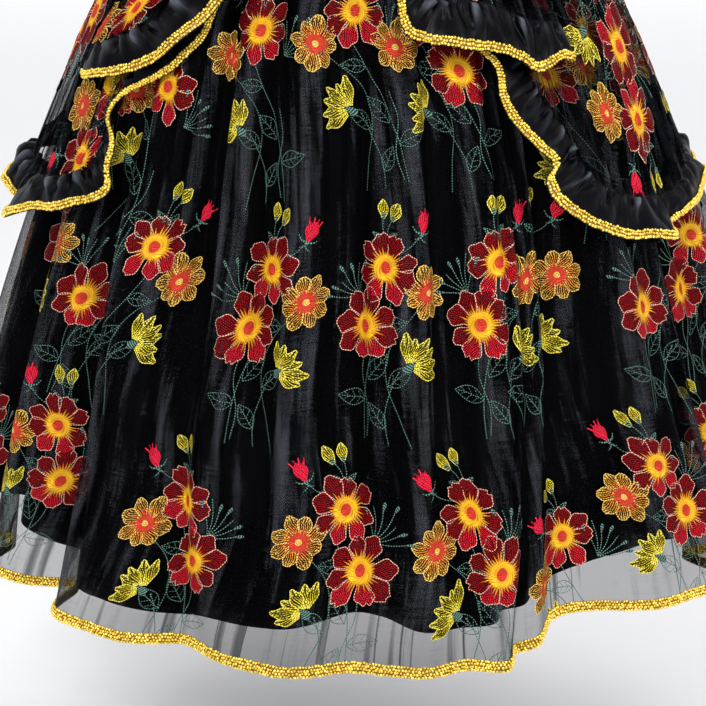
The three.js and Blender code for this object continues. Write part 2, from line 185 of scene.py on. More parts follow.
# The overskirt's steps, from the front opening on: the braided edge, the ruffle's seam, how far
# both stand off the bell, and where that line of the cloth leaves the waistband.
STEP_COLUMNS = ("edge_turn", "edge_drop", "seam_turn", "seam_drop", "edge_out", "seam_out", "waist")
STEPS = {
    "upper_right": [
        (-5, 70, -9, 66, 22, 19, -9),
        (-9, 125, -15, 115, 30, 25, -12),
        (-16, 190, -25, 175, 38, 30, -16),
        (-28.8, 262, -38, 240, 36, 31, -21),
        (-35, 303, -44, 279, 44, 30, -26),
        (-40, 321, -49.5, 293, 38, 31, -31),
        (-47, 339, -55, 305, 43, 30, -36),
        (-56.5, 350, -60.5, 315, 38, 31, -42),
        (-61.5, 349, -63, 316, 31, 28, -45),
        (-59, 342, -60.5, 310, 25, 24, -43.5),
        (-54, 336, -55.5, 305, 24, 23, -40),
    ],
    "upper_left": [
        (4, 70, 8, 66, 22, 19, 8),
        (5.5, 130, 10.5, 124, 30, 25, 9.5),
        (6.8, 205, 12, 192, 36, 30, 11),
        (7.6, 272, 13.5, 236, 40, 30, 12.5),
        (11.5, 292, 15.5, 249, 36, 31, 14.5),
        (18.6, 300, 19.5, 252, 44, 30, 18),
        (24.5, 305, 25, 256, 36, 31, 22),
        (30, 317, 30, 265, 44, 30, 26),
        (33.5, 329, 34.5, 277, 38, 31, 30),
        (38.8, 319, 39.5, 280, 36, 30, 34),
        (42.8, 323, 42.8, 283, 29.5, 26, 36.5),
        (40.5, 317, 40.8, 280, 23, 21.5, 34.5),
        (36, 312, 36.5, 276, 21.5, 20.5, 31),
    ],
    "lower_right": [
        (-21, 70, -25, 66, 7, 6, -25),
        (-26, 175, -32, 165, 11, 10, -28),
        (-31.5, 280, -38.5, 265, 14, 13, -31),
        (-35.6, 322, -42.5, 300, 16, 15, -34),
        (-40, 338, -45, 322, 17, 16, -37),
        (-46.3, 358, -47.5, 345, 28, 18, -40),
        (-46.7, 380, -49, 370, 36, 18, -42),
        (-46, 405, -50, 396, 32, 18, -44),
        (-44, 432, -50.7, 418, 36, 18, -46),
        (-43, 455, -51.7, 436, 32, 18, -48),
        (-44.5, 471, -53.2, 448, 38, 18, -50),
        (-48.5, 483, -56, 456, 34, 19, -52.5),
        (-54.6, 492, -60, 463, 42, 18, -56),
        (-61, 501, -65, 468, 36, 19, -60),
        (-71, 521, -71.5, 473, 44, 18, -66),
        (-77, 512, -76, 474, 22, 15, -72),
        (-82, 503, -81, 468, 32, 17, -78),
        (-90, 493, -89, 456, 46, 18, -87),
        (-99, 494, -98, 450, 26, 16, -97),
        (-109, 482, -108, 442, 40, 18, -108),
        (-120, 480, -120, 434, 24, 16, -120),
        (-132, 470, -132, 430, 44, 18, -132),
        (-143, 474, -143, 427, 24, 16, -143),
        (-156, 465, -156, 424, 42, 18, -156),
        (-168, 469, -168, 422, 24, 16, -168),
        (-179.95, 464, -179.95, 421, 34, 17, -179.95),
    ],
    "lower_left": [
        (13, 70, 17, 66, 7, 6, 17),
        (17, 180, 22, 170, 11, 10, 20),
        (22, 285, 28, 265, 14, 13, 23),
        (25.8, 322, 31, 305, 17, 15, 26),
        (25.2, 352, 33, 336, 30, 17, 29),
        (26.2, 384, 34.5, 362, 36, 18, 31),
        (30, 410, 37, 384, 32, 18, 33),
        (32.8, 426, 38.6, 404, 36, 18, 35),
        (30.2, 444, 39.6, 424, 38, 18, 37),
        (31.6, 470, 41.2, 444, 34, 18, 39),
        (37.4, 495, 44.3, 461, 42, 18, 42),
        (42, 512, 48, 472, 36, 19, 45.5),
        (47.7, 516, 52, 479, 42, 18, 49.5),
        (54.5, 527, 57, 483, 40, 18, 54),
        (59, 517, 61, 486, 20, 15, 58),
        (63, 510, 66, 484, 24, 16, 63),
        (73, 500, 74, 474, 28, 16, 71),
        (84, 487, 83, 462, 32, 17, 81),
        (94, 484, 93, 452, 24, 16, 92),
        (105, 473, 104, 444, 40, 18, 104),
        (117, 472, 117, 435, 24, 16, 117),
        (129, 462, 129, 431, 44, 18, 129),
        (141, 468, 141, 427, 24, 16, 141),
        (154, 461, 154, 424, 44, 18, 154),
        (167, 467, 167, 422, 24, 16, 167),
        (179.95, 463, 179.95, 421, 34, 17, 179.95),
    ],
}

# Creases in the organza. at: the fold row down whose line a crease runs; width in fold
# rows; depth, outwards for a ridge and negative for a trough, which CREASE_DEPTH turns into mm;
# top and bottom: shares of the fall; lean: fold rows that it drifts by over the whole fall.
CREASES = [
    (12.4, 0.30, -3.5, 0.25, 0.90, 0.5),
    (13.3, 0.22, 3.0, 0.30, 0.75, -0.3),
    (14.5, 0.55, 4.4, 0.40, 0.72, 0.0),
    (15.5, 0.18, -2.0, 0.72, 0.97, -0.2),
    (16.2, 0.24, 2.0, 0.20, 0.45, 0.3),
    (16.9, 0.20, -3.5, 0.30, 0.90, 0.2),
    (17.7, 0.26, -3.0, 0.10, 0.62, -0.4),
    (18.5, 0.20, -4.0, 0.28, 0.62, 0.3),
    (18.45, 0.42, 4.5, 0.68, 0.96, 0.0),
    (19.3, 0.17, 3.0, 0.22, 0.80, -0.2),
    (19.9, 0.22, -3.5, 0.12, 0.72, 0.3),
    (20.6, 0.16, 3.0, 0.35, 0.95, -0.2),
    (21.3, 0.24, -4.0, 0.20, 0.82, 0.2),
    (22.4, 0.20, -3.0, 0.30, 0.90, -0.3),
    (23.4, 0.17, 3.0, 0.15, 0.70, 0.2),
    (24.3, 0.24, -4.5, 0.18, 0.88, -0.2),
    (25.4, 0.18, 3.0, 0.30, 0.97, 0.3),
    (26.3, 0.22, -3.5, 0.20, 0.75, -0.2),
    (27.1, 0.20, -3.0, 0.38, 0.94, 0.2),
    (28.4, 0.24, 3.5, 0.15, 0.80, -0.3),
    (30.4, 0.26, -4.0, 0.30, 0.90, 0.3),
    (31.4, 0.22, 1.2, 0.25, 0.85, -0.2),
    (33.0, 0.26, -3.5, 0.20, 0.92, 0.2),
    (33.5, 0.22, -3.0, 0.35, 0.80, 0.3),
    (35.2, 0.28, 3.5, 0.20, 0.88, -0.3),
]

# How many fold rows on the creases come again round the back, and with what share of their depth.
CREASE_LAPS = ((0, 1.0), (22.3, 1.1), (-22.7, 0.9))

# The lining's own creases, with depths in mm: troughs only, so that it stays clear of the organza.
LINING_CREASES = [
    (12.8, 0.34, -6.0, 0.30, 1.00, 0.4),
    (14.3, 0.30, -5.0, 0.15, 0.80, -0.3),
    (15.8, 0.28, -6.5, 0.35, 1.00, 0.2),
    (17.4, 0.34, -5.0, 0.20, 0.90, 0.3),
    (18.9, 0.26, -7.0, 0.25, 1.00, -0.2),
    (20.2, 0.30, -5.0, 0.30, 0.92, 0.3),
    (21.8, 0.26, -6.0, 0.15, 0.85, -0.2),
    (23.1, 0.30, -6.5, 0.35, 1.00, 0.2),
    (24.7, 0.26, -5.0, 0.20, 0.95, -0.3),
    (26.1, 0.32, -7.0, 0.30, 1.00, 0.2),
    (27.6, 0.28, -5.0, 0.25, 0.88, 0.3),
    (30.8, 0.34, -6.5, 0.30, 1.00, -0.2),
    (32.9, 0.30, -6.0, 0.20, 0.92, 0.3),
    (34.6, 0.32, -5.0, 0.35, 1.00, -0.2),
]


# ---- tables and curves -----------------------------------------------------------------------
def columns_of(names, rows):
    """A table's columns by name, as arrays."""
    return dict(zip(names, np.array(rows, float).T))


def along(column, u, lap=None):
    """A smooth curve through a column. Round a closed table the value grows by lap."""
    count = len(column)
    i = np.floor(u).astype(int)
    t = u - i

    def at(k):
        if lap is None:
            return column[np.clip(k, 0, count - 1)]
        return column[k % count] + (k // count) * lap

    p, q, r, s = at(i - 1), at(i), at(i + 1), at(i + 2)
    return q + 0.5 * t * (r - p + t * (2 * p - 5 * q + 4 * r - s + t * (3 * (q - r) + s - p)))


def down_fold(share, top, middle, hem):
    """The value at a share of the fall, given at the waist, at MIDDLE and at the hem."""
    m = MIDDLE
    return (top * (share - m) * (share - 1) / m
            + middle * share * (share - 1) / (m * (m - 1))
            + hem * share * (share - m) / (1 - m))


def smooth(low, high, value):
    t = np.clip((value - low) / (high - low), 0, 1)
    return t * t * (3 - 2 * t)


def bell(drop):
    """Half-width and half-depth of the bell at a drop below the waist."""
    share = np.maximum(0, (drop - BAND_DEPTH) / (LENGTH - BAND_DEPTH))
    start = SPRING ** SWELL
    spread = ((share + SPRING) ** SWELL - start) / ((1 + SPRING) ** SWELL - start)
    return (WAIST_ACROSS + (HEM_ACROSS - WAIST_ACROSS) * spread,
            WAIST_FORE + (HEM_FORE - WAIST_FORE) * spread)


def on_bell(turn, drop, reach=1.0, out=0.0):
    across, fore = bell(drop)
    angle = np.radians(turn)
    return np.stack(np.broadcast_arrays(
        (across * reach + out) * np.sin(angle),
        -(fore * reach + out) * np.cos(angle),
        -drop), axis=-1)


# ---- cloth -----------------------------------------------------------------------------------
class Cloth:
    """Cloth as rings of points from the top down, in mm: points[ring, column]."""

    def __init__(self, points, closed):
        self.points = points
        self.closed = closed
        self.rings, self.count = points.shape[:2]
        ahead, behind = self.neighbours(1), self.neighbours(-1)
        down = np.empty_like(points)
        down[1:-1] = points[2:] - points[:-2]
        down[0] = points[1] - points[0]
        down[-1] = points[-1] - points[-2]
        facing = np.cross(down, ahead - behind)
        self.facing = facing / np.linalg.norm(facing, axis=-1, keepdims=True)
        steps = np.linalg.norm(np.diff(points, axis=0), axis=-1).mean(axis=1)
        self.down = np.concatenate([[0], np.cumsum(steps)])
        gaps = np.linalg.norm(ahead - points, axis=-1)
        if not closed:
            gaps = gaps[:, :-1]
        self.round = np.concatenate([np.zeros((self.rings, 1)), np.cumsum(gaps, axis=1)], axis=1)

    def neighbours(self, step):
        if self.closed:
            return np.roll(self.points, -step, axis=1)
        return self.points[:, np.clip(np.arange(self.count) + step, 0, self.count - 1)]

    def blend(self, grid, ring, column):
        """Values of a grid between its points."""
        j = np.clip(np.floor(ring).astype(int), 0, self.rings - 2)
        a = (ring - j)[..., None]
        i = np.floor(column).astype(int)
        b = (column - i)[..., None]
        if self.closed:
            i, k = i % self.count, (i + 1) % self.count
        else:
            i = np.clip(i, 0, self.count - 1)
            k = np.clip(i + 1, 0, self.count - 1)
        return ((1 - a) * ((1 - b) * grid[j, i] + b * grid[j, k])
                + a * ((1 - b) * grid[j + 1, i] + b * grid[j + 1, k]))

    def walked(self, ring, column):
        """Millimetres along the cloth from its first column."""
        last = self.round.shape[1] - 1
        laps = np.floor(column / last) if self.closed else np.zeros_like(column)
        rest = column - laps * last
        j = np.clip(np.floor(ring).astype(int), 0, self.rings - 2)
        a = ring - j
        i = np.clip(np.floor(rest).astype(int), 0, last - 1)
        b = rest - i
        near = (1 - a) * self.round[j, i] + a * self.round[j + 1, i]
        far = (1 - a) * self.round[j, i + 1] + a * self.round[j + 1, i + 1]
        whole = (1 - a) * self.round[j, last] + a * self.round[j + 1, last]
        return laps * whole + near + b * (far - near)

    def whole(self, grid):
        """A grid with its first column again at its end where the cloth closes on itself."""
        return np.concatenate([grid, grid[:, :1]], axis=1) if self.closed else grid

    def laid_flat(self):
        """Mm round and up the cloth, every ring drawn out to the widest, and by how much."""
        girth = self.round[:, -1:]
        stretch = np.broadcast_to(girth.max() / girth, self.round.shape)
        return self.round * stretch, np.broadcast_to(-self.down[:, None], self.round.shape), stretch

    def flat_place(self, ring, column):
        """Where a ring and column lie when the cloth is laid flat."""
        at = np.arange(self.rings)
        girth = np.interp(ring, at, self.round[:, -1])
        walked = self.walked(np.array([float(ring)]), np.array([float(column)]))[0]
        return walked * self.round[:, -1].max() / girth, -np.interp(ring, at, self.down)

    def standing_out(self, reach, height):
        """From 0 in a valley to 1 on a ridge, against the cloth as far as reach columns off."""
        far = np.hypot(self.points[..., 0], self.points[..., 1])
        wide = np.pad(far, ((0, 0), (reach, reach)), mode="wrap" if self.closed else "edge")
        summed = np.cumsum(np.pad(wide, ((0, 0), (1, 0))), axis=1)
        around = (summed[:, 2 * reach + 1:] - summed[:, :-2 * reach - 1]) / (2 * reach + 1)
        return np.clip(0.5 + (far - around) / height, 0, 1)

    def find(self, turn, drop):
        """The ring and column nearest to a turn and a drop."""
        across, fore = bell(-self.points[..., 2])
        turns = np.degrees(np.arctan2(self.points[..., 0] / across, -self.points[..., 1] / fore))
        off_turn = (turns - turn + 180) % 360 - 180
        miss = (off_turn * MM_A_DEGREE) ** 2 + (self.points[..., 2] + drop) ** 2
        return np.unravel_index(np.argmin(miss), miss.shape)


folds = columns_of(FOLD_COLUMNS, FOLDS)
FOLD_COUNT = len(FOLDS)


def creased(creases, u, share):
    """How far creases push the cloth out; the back has those of the front again, shifted."""
    out = np.zeros(np.broadcast(u, share).shape)
    for lap, depth_share in CREASE_LAPS:
        for at, width, depth, top, bottom, lean in creases:
            off = (u - at - lap - lean * (share - 0.5) + FOLD_COUNT / 2) % FOLD_COUNT - FOLD_COUNT / 2
            starts = smooth(top - 0.08, top + 0.12, share)
            ends = smooth(bottom - 0.15, bottom + 0.05, share)
            out += depth_share * depth * np.exp(-(off / width) ** 2) * (starts * (1 - ends))
    return out


def gathered(u, share):
    """Fine gathers under the waistband, three and seven to a fold, which open out half-way down."""
    fade = GATHER_DEPTH * np.clip(1 - share / 0.5, 0, 1) ** 1.6 * smooth(0, 0.02, share)
    wander = 1.1 * np.sin(2 * np.pi * u / 5) + 0.7 * np.sin(2 * np.pi * u * 3 / 15 + 2)
    return fade * (np.sin(2 * np.pi * u * 3 + 2.2 * wander) + 0.5 * np.sin(2 * np.pi * u * 7 + wander))


def skirt_cloth(rings, inner):
    """The organza skirt, or the lining inside it, all round."""
    u = (np.arange(FOLD_COUNT * SKIRT_CUTS) / SKIRT_CUTS)[None, :]
    share = rings[:, None]
    even_turn = -180 + 360 * u / FOLD_COUNT
    mid_turn = along(folds["mid_turn"], u, 360)
    top_turn = mid_turn + EVEN_GATHER * (even_turn - mid_turn)
    turn = down_fold(share, top_turn, mid_turn, along(folds["turn"], u, 360))
    reach = down_fold(share, 1, along(folds["mid_reach"], u, 0), along(folds["reach"], u, 0))
    inwards = along(folds["inner"], u, 0) * share ** LINING_HANG
    gathers = gathered(u, share)
    if inner:
        drop = CLOTH_TOP + share * (LENGTH - CLOTH_TOP - along(folds["lining_rise"], u, 0))
        out = (gathers - LINING_INSET * (1 + share) + creased(LINING_CREASES, u, share)
               + CREASE_DEPTH * creased(CREASES, u, share))
        return Cloth(on_bell(turn, drop, reach - inwards, out), True)
    drop = CLOTH_TOP + share * (LENGTH - CLOTH_TOP - along(folds["rise"], u, 0))
    out = gathers + CREASE_DEPTH * creased(CREASES, u, share)
    return Cloth(on_bell(turn, drop, reach, out), True)


def step_cloths(name):
    """A step of the overskirt: its organza panel and its gathered ruffle."""
    step = columns_of(STEP_COLUMNS, STEPS[name])
    rows = len(STEPS[name])
    u = np.linspace(0, rows - 1, (rows - 1) * RUFFLE_CUTS + 1)
    if step["waist"][-1] < 0:
        u = u[::-1]
    line = {column: along(step[column], u)[None, :] for column in STEP_COLUMNS}
    top_out = OVERSKIRT_OUT[name.split("_")[0]]
    share = PANEL_RINGS[:, None]
    walk = u[None, :]
    drop = CLOTH_TOP + (line["seam_drop"] - CLOTH_TOP) * share
    pleats = (0.6 * np.sin(walk * 2 * np.pi * 1.3 + 1.5 * np.sin(walk * 1.1))
              + 0.3 * np.sin(walk * 2 * np.pi * 2.7))
    soft = PLEAT_DEPTH * smooth(0.02, 0.2, share) + LOW_PLEAT_DEPTH * smooth(0.75, 1, share)
    panel = on_bell(
        line["waist"] + (line["seam_turn"] - line["waist"]) * share, drop, 1,
        top_out + (line["seam_out"] - top_out) * np.sqrt(share) + soft * pleats)

    seam = panel[-1]
    edge = on_bell(line["edge_turn"], line["edge_drop"], 1, line["edge_out"])[0]
    share = RUFFLE_RINGS[:, None, None]
    straight = seam + (edge - seam) * share
    plain = Cloth(straight, False)
    walked = plain.walked(np.full(len(u), 0.3), np.arange(len(u), dtype=float))[None, :]
    down = RUFFLE_RINGS[:, None]
    lift = ruffle_gathers(walked, down, name) + RUFFLE_BULGE * np.sin(np.pi * down) ** 0.8
    ruffle = straight + plain.facing * lift[..., None]
    panel = Cloth(panel, False)
    turned_in = panel.points[-2] - ALLOWANCE_IN * panel.facing[-2]
    return panel, Cloth(np.concatenate([turned_in[None], ruffle]), False)


def ruffle_gathers(walked, down, seed):
    """How far a gathered ruffle stands out: uneven gathers from the seam, and long waves below."""
    dice = random.Random(seed)
    lift = 3.0 * np.sin(2 * np.pi * walked / 71 + 1.3 * np.sin(walked / 41)) * smooth(0.2, 1, down)
    place = 0.0
    while place < walked.max():
        place += dice.uniform(11, 36)
        height = dice.uniform(5.0, 11.0) * (1 if dice.random() < 0.6 else -0.8)
        width = dice.uniform(4.0, 8.0)
        lean = dice.uniform(-22, 22)
        reach = dice.uniform(0.55, 1.15)
        spread = width * (0.65 + 0.9 * down)
        lift = lift + (height * np.exp(-np.abs((walked - place - lean * down) / spread) ** 1.4)
                       * smooth(0, 0.10, down) * (1 - smooth(reach - 0.4, reach + 0.1, down))
                       * (1 - 0.9 * smooth(0.15, 0.85, down)))
    puckers = np.sin(2 * np.pi * walked / 8.5 + 2.4 * np.sin(walked / 31))
    return lift + 0.9 * puckers * smooth(0, 0.08, down) * (1 - smooth(0.12, 0.35, down))


# ---- stitched motifs -------------------------------------------------------------------------
# In mm about a motif's upper red flower, x to the right and y up the cloth. A leaf has its foot,
# its length and its angle in radians.
STEM_WIDTH = 0.9
STEMS = [
    ((8, -24), (-12, -61), (-30, -92), (-46, -130), (-58, -182)),
    ((32, -52), (5, -72), (-13, -100), (-15, -130), (-8, -160), (-2, -196)),
    ((3, -112), (-8, -125), (-24, -158), (-27, -190)),
    ((-40, -84), (-48, -112), (-44, -150), (-52, -178)),
    ((20, 14), (36, 18), (48, 27)),
    ((2, 24), (3, 40), (6, 52)),
    ((3, 24), (9, 40), (17, 49)),
]
LEAVES = [
    ((-12, -61), 30, 0.05),
    ((-38, -118), 38, 0.72),
    ((-14, -128), 37, 0.55),
    ((-26, -172), 33, 2.05),
    ((-48, -140), 36, 2.75),
]


def away(start, far, angle):
    """The point at a distance and an angle from another."""
    return start[0] + far * math.cos(angle), start[1] + far * math.sin(angle)


class Motif:
    """Stitched shapes, in mm: x to the right, y up, and lift off the cloth, by thread."""

    def __init__(self):
        self.threads = {}

    def patch(self, thread, x, y, lift=0.0):
        """A filled grid of stitches; the thread runs from its first row to its last."""
        rows, columns = x.shape
        parts = self.threads.setdefault(thread, {"points": [], "faces": [], "uv": [], "count": 0})
        lift = np.broadcast_to(lift, x.shape)
        parts["points"].append(np.stack([x, y, lift], axis=-1).reshape(-1, 3))
        across = np.hypot(np.diff(x, axis=1), np.diff(y, axis=1))
        walked = np.concatenate([np.zeros((rows, 1)), np.cumsum(across, axis=1)], axis=1)
        steps = np.hypot(np.diff(x, axis=0), np.diff(y, axis=0)).mean(axis=1)
        run = np.concatenate([[0], np.cumsum(steps)])
        shift = parts["count"] * 0.37
        ahead = np.broadcast_to(run[:, None], x.shape)
        parts["uv"].append(np.stack([walked + shift, ahead], axis=-1).reshape(-1, 2))
        corner = parts["count"] + np.arange(rows - 1)[:, None] * columns + np.arange(columns - 1)[None, :]
        faces = np.stack([corner, corner + 1, corner + columns + 1, corner + columns], axis=-1)
        turns = np.sum((x[:-1, :-1] - x[1:, 1:]) * (y[:-1, 1:] - y[1:, :-1])
                       - (y[:-1, :-1] - y[1:, 1:]) * (x[:-1, 1:] - x[1:, :-1]))
        parts["faces"].append(faces.reshape(-1, 4)[:, ::1 if turns > 0 else -1])
        parts["count"] += rows * columns

    def line(self, thread, path, width, lift=0.0, taper=1.0, step=5.0):
        """A line of stitches along a path, drawn with a smooth curve through its points."""
        path = np.array(path, float)
        if len(path) > 2:
            u = np.linspace(0, len(path) - 1, 4 * len(path))
            path = np.stack([along(path[:, 0], u), along(path[:, 1], u)], axis=-1)
        legs = np.concatenate([[0], np.cumsum(np.hypot(*np.diff(path, axis=0).T))])
        cuts = max(2, int(round(legs[-1] / step)) + 1)
        at = np.linspace(0, legs[-1], cuts)
        x, y = np.interp(at, legs, path[:, 0]), np.interp(at, legs, path[:, 1])
        dx, dy = np.gradient(x), np.gradient(y)
        size = np.maximum(np.hypot(dx, dy), 1e-6)
        half = width / 2 * np.linspace(1, taper, cuts)
        nx, ny = -dy / size * half, dx / size * half
        self.patch(thread, np.stack([x - nx, x + nx], axis=1), np.stack([y - ny, y + ny], axis=1), lift)

    def petal(self, thread, middle, angle, base, tip, half_width, outline=None, notch=0.0, lift=0.0,
              fullest=0.72, point=0.13, turns=0.0, laid=(), thread_width=0.8):
        """A petal from a flower's middle: its ground, the outline round it and threads laid on it."""
        down = np.linspace(0, 1, 7)[:, None]
        side = np.linspace(-1, 1, 5)[None, :]
        profile = np.interp(down, (0, fullest * 0.4, fullest * 0.75, fullest, 0.94, 1),
                            (0.26, 0.54, 0.87, 1.0, 0.84, 0.55))
        end = tip * (1 - point * np.abs(side) ** 2.2 - notch * np.exp(-(side / 0.25) ** 2))
        far = base + (end - base) * down
        wide = side * half_width * profile + turns * half_width * down ** 2
        c, s = math.cos(angle), math.sin(angle)
        x = middle[0] + far * c - wide * s
        y = middle[1] + far * s + wide * c
        self.patch(thread, x, y, lift + 0.5 * (1 - side ** 2) * np.sin(np.pi * np.clip(down, 0.06, 0.94)))
        if outline:
            edge_x = np.concatenate([x[:, 0], x[-1, 1:-1], x[::-1, -1]])
            edge_y = np.concatenate([y[:, 0], y[-1, 1:-1], y[::-1, -1]])
            self.line(outline, np.stack([edge_x, edge_y], axis=1), thread_width, lift + 0.3, step=3.4)
        for side in laid:
            run = np.linspace(0.04, 0.94, 4)
            spread = np.interp(run, down[:, 0], profile[:, 0]) * side * half_width * 0.9
            out = base + (tip * (1 - point * abs(side) ** 2.2) - base) * run
            path = np.stack([middle[0] + out * c - spread * s, middle[1] + out * s + spread * c], axis=1)
            self.line(outline, path, thread_width, lift + 0.3, step=6)

    def burst(self, thread, middle, inner, outer, spikes, lift, seed, root=0.62):
        """Long and short stitches that radiate from a ring."""
        dice = random.Random(seed)
        turn = np.linspace(0, 2 * np.pi, 2 * spikes + 1)
        turn[1:-1] += np.array([dice.uniform(-0.35, 0.35) for _ in turn[1:-1]]) * np.pi / spikes
        far = np.array([outer * (dice.uniform(0.74, 1.24) if k % 2 else root) for k in range(2 * spikes)])
        far = np.append(far, far[0])
        near = np.minimum(far, outer * root)
        ring = np.stack([np.full_like(far, inner), (inner + near) / 2, near, far])
        x = middle[0] + ring * np.cos(turn)
        y = middle[1] + ring * np.sin(turn)
        self.patch(thread, x[:, ::-1], y[:, ::-1], lift + np.array([[0.45], [0.4], [0.25], [0.0]]))

    def heart(self, thread, middle, radius, lift, long=1.0):
        turn = np.linspace(0, 2 * np.pi, 13)
        ring = np.array([[0.0], [1.0]]) * radius
        x = middle[0] + ring * np.cos(turn)
        y = middle[1] + ring * np.sin(turn) * long
        self.patch(thread, x[:, ::-1], y[:, ::-1], np.array([[lift + 0.35], [lift]]))

    def red_flower(self, middle, radius, spin, seed):
        dice = random.Random(seed)
        petals = 8
        for k in range(petals):
            angle = spin + 2 * math.pi * k / petals + dice.uniform(-0.10, 0.10)
            bright = math.sin(angle) < -0.6
            self.petal("crimson" if bright else "maroon", middle, angle, radius * 0.24,
                       radius * dice.uniform(0.88, 1.12), radius * dice.uniform(0.25, 0.32),
                       outline="pink", notch=dice.choice((0.02, 0.09, 0.14)), lift=0.15 * (k % 2),
                       fullest=dice.uniform(0.74, 0.84), turns=dice.uniform(-0.3, 0.3))
        self.burst("yellow", middle, radius * 0.10, radius * 0.53, 36, 1.0, seed + 1, 0.64)
        self.heart("red", middle, radius * 0.15, 1.7, long=1.15)

    def gold_flower(self, middle, radius, spin, seed):
        dice = random.Random(seed)
        petals = 8
        for k in range(petals):
            angle = spin + 2 * math.pi * k / petals + dice.uniform(-0.10, 0.10)
            self.petal("bronze", middle, angle, radius * 0.22, radius * dice.uniform(0.86, 1.14),
                       radius * dice.uniform(0.25, 0.30), outline="gold", notch=0.04, point=0.12,
                       fullest=0.7, turns=dice.uniform(-0.3, 0.3), laid=(-0.52, 0, 0.52),
                       thread_width=0.95)
        self.burst("red", middle, radius * 0.10, radius * 0.50, 20, 0.6, seed + 1, 0.60)
        self.heart("gold", middle, radius * 0.12, 1.1)

    def tulip(self, foot, radius, angle, seed):
        dice = random.Random(seed)
        for k in range(6):
            lean = angle + (k - 2.5) * 0.42 + dice.uniform(-0.05, 0.05)
            self.petal("olive", foot, lean, radius * 0.16, radius * dice.uniform(0.88, 1.10),
                       radius * 0.19, outline="lime", lift=0.1 * (k % 2), point=0.19, fullest=0.66,
                       laid=(-0.4, 0.4), thread_width=1.0)
        self.petal("teal", foot, angle + math.pi, -radius * 0.26, radius * 0.20, radius * 0.13, lift=0.5)

    def spiky_bud(self, foot, length, angle, seed):
        dice = random.Random(seed)
        for k in range(4):
            lean = angle + (k - 1.5) * 0.16
            self.petal("rose", foot, lean, length * 0.05, length * dice.uniform(0.70, 0.84),
                       length * 0.20, lift=0.1 * (k % 2))
            reach = dice.uniform(0.88, 1.04) * length
            spread = angle + (k - 1.5) * 0.24
            ends = [away(foot, 0.6 * length, lean), away(foot, reach, spread)]
            self.line("rose", ends, 3.2, 0.2, taper=0.3, step=5)
        for lean, reach in ((-1.15, 0.42), (1.2, 0.5), (2.5, 0.36), (-2.4, 0.40)):
            middle = away(foot, 0.5 * reach * length, angle + lean * 1.3)
            tip = away(foot, reach * length, angle + lean)
            self.line("teal", [foot, middle, tip], 2.6, 0.4, taper=0.3, step=4)

    def small_bud(self, foot, length, angle):
        self.petal("olive", foot, angle, 0, length, length * 0.31, outline="lime", point=0.2,
                   fullest=0.60, laid=(-0.4, 0.4), thread_width=0.95)
        self.petal("teal", foot, angle, -1.5, length * 0.3, length * 0.14, lift=0.4)

    def leaf(self, foot, length, angle, half_width=0.25):
        """An open leaf: outline, midrib and slanting stitches."""
        c, s = math.cos(angle), math.sin(angle)

        def spot(far, side):
            return (foot[0] + far * c - side * s, foot[1] + far * s + side * c)

        bulge = half_width * length
        for side in (-1, 1):
            edge = [spot(length * t, side * bulge * math.sin(math.pi * t ** 0.85))
                    for t in np.linspace(0, 1, 7)]
            self.line("teal", edge, STEM_WIDTH * 0.9, 0.1, step=4.5)
            for t in (0.20, 0.42, 0.64):
                t_end = t + 0.16
                end = spot(length * t_end, side * bulge * 0.84 * math.sin(math.pi * t_end ** 0.85))
                self.line("teal", [spot(length * t, 0), end], STEM_WIDTH * 0.6, 0.1, step=9)
        self.line("teal", [spot(0, 0), spot(length * 0.92, 0)], STEM_WIDTH * 0.9, 0.15, step=6)

    def spray(self, foot, reach, angle, stems, seed):
        """Thin stems that fan out, most with a stitched drop at the end."""
        dice = random.Random(seed)
        for k in range(stems):
            lean = angle + (k - (stems - 1) / 2) * 0.30
            far = reach * dice.uniform(0.72, 1.2)
            tip = away(foot, far, lean)
            self.line("teal", [foot, away(foot, 0.5 * far, lean + 0.12), tip], STEM_WIDTH, 0.05, step=7)
            if k % 3 != 1:
                self.petal("teal", tip, lean, -1, reach * 0.26, reach * 0.055, lift=0.15)


def flower_cluster(seed, shows):
    """The whole motif about its upper red flower; shows names what the gathers leave in sight."""
    m = Motif()
    for path in STEMS:
        m.line("teal", path, STEM_WIDTH, step=5)
    for foot, length, angle in LEAVES:
        m.leaf(foot, length, angle)
    if "bud" in shows:
        m.spiky_bud((50, 28), 28, 1.03, seed)
        m.small_bud((7, 53), 20, 1.3)
        m.small_bud((18, 49), 22, 0.88)
        m.leaf((3, 27), 18, 2.33, 0.2)
        m.leaf((4, 26), 21, 0.50, 0.2)
    if "lower" in shows:
        m.red_flower((-35, -61), 42, 0.35, seed + 5)
    if "lower" in shows or "upper" in shows:
        m.spray((-42, -26), 37, 2.05, 7, seed + 3)
    if "gold" in shows:
        m.gold_flower((48, -37), 31, 0.2, seed + 7)
        m.tulip((13, -110), 36, 0.50, seed + 11)
    if "upper" in shows:
        m.red_flower((0, 0), 40, 0.1, seed + 9)
    return m


# ---- materials -------------------------------------------------------------------------------
class Wire:
    """A number inside a material. Arithmetic on it adds Math nodes."""

    def __init__(self, finish, socket):
        self.finish = finish
        self.socket = socket

    def maths(self, operation, *values):
        return self.finish.node("ShaderNodeMath", {"operation": operation}, values)

    def __add__(self, other):
        return self.maths("ADD", self, other)

    __radd__ = __add__

    def __sub__(self, other):
        return self.maths("SUBTRACT", self, other)

    def __rsub__(self, other):
        return self.maths("SUBTRACT", other, self)

    def __mul__(self, other):
        return self.maths("MULTIPLY", self, other)

    __rmul__ = __mul__

    def sine(self):
        return self.maths("SINE", self)

    def clamped(self, low=0.0, high=1.0):
        return self.maths("MINIMUM", self.maths("MAXIMUM", self, low), high)


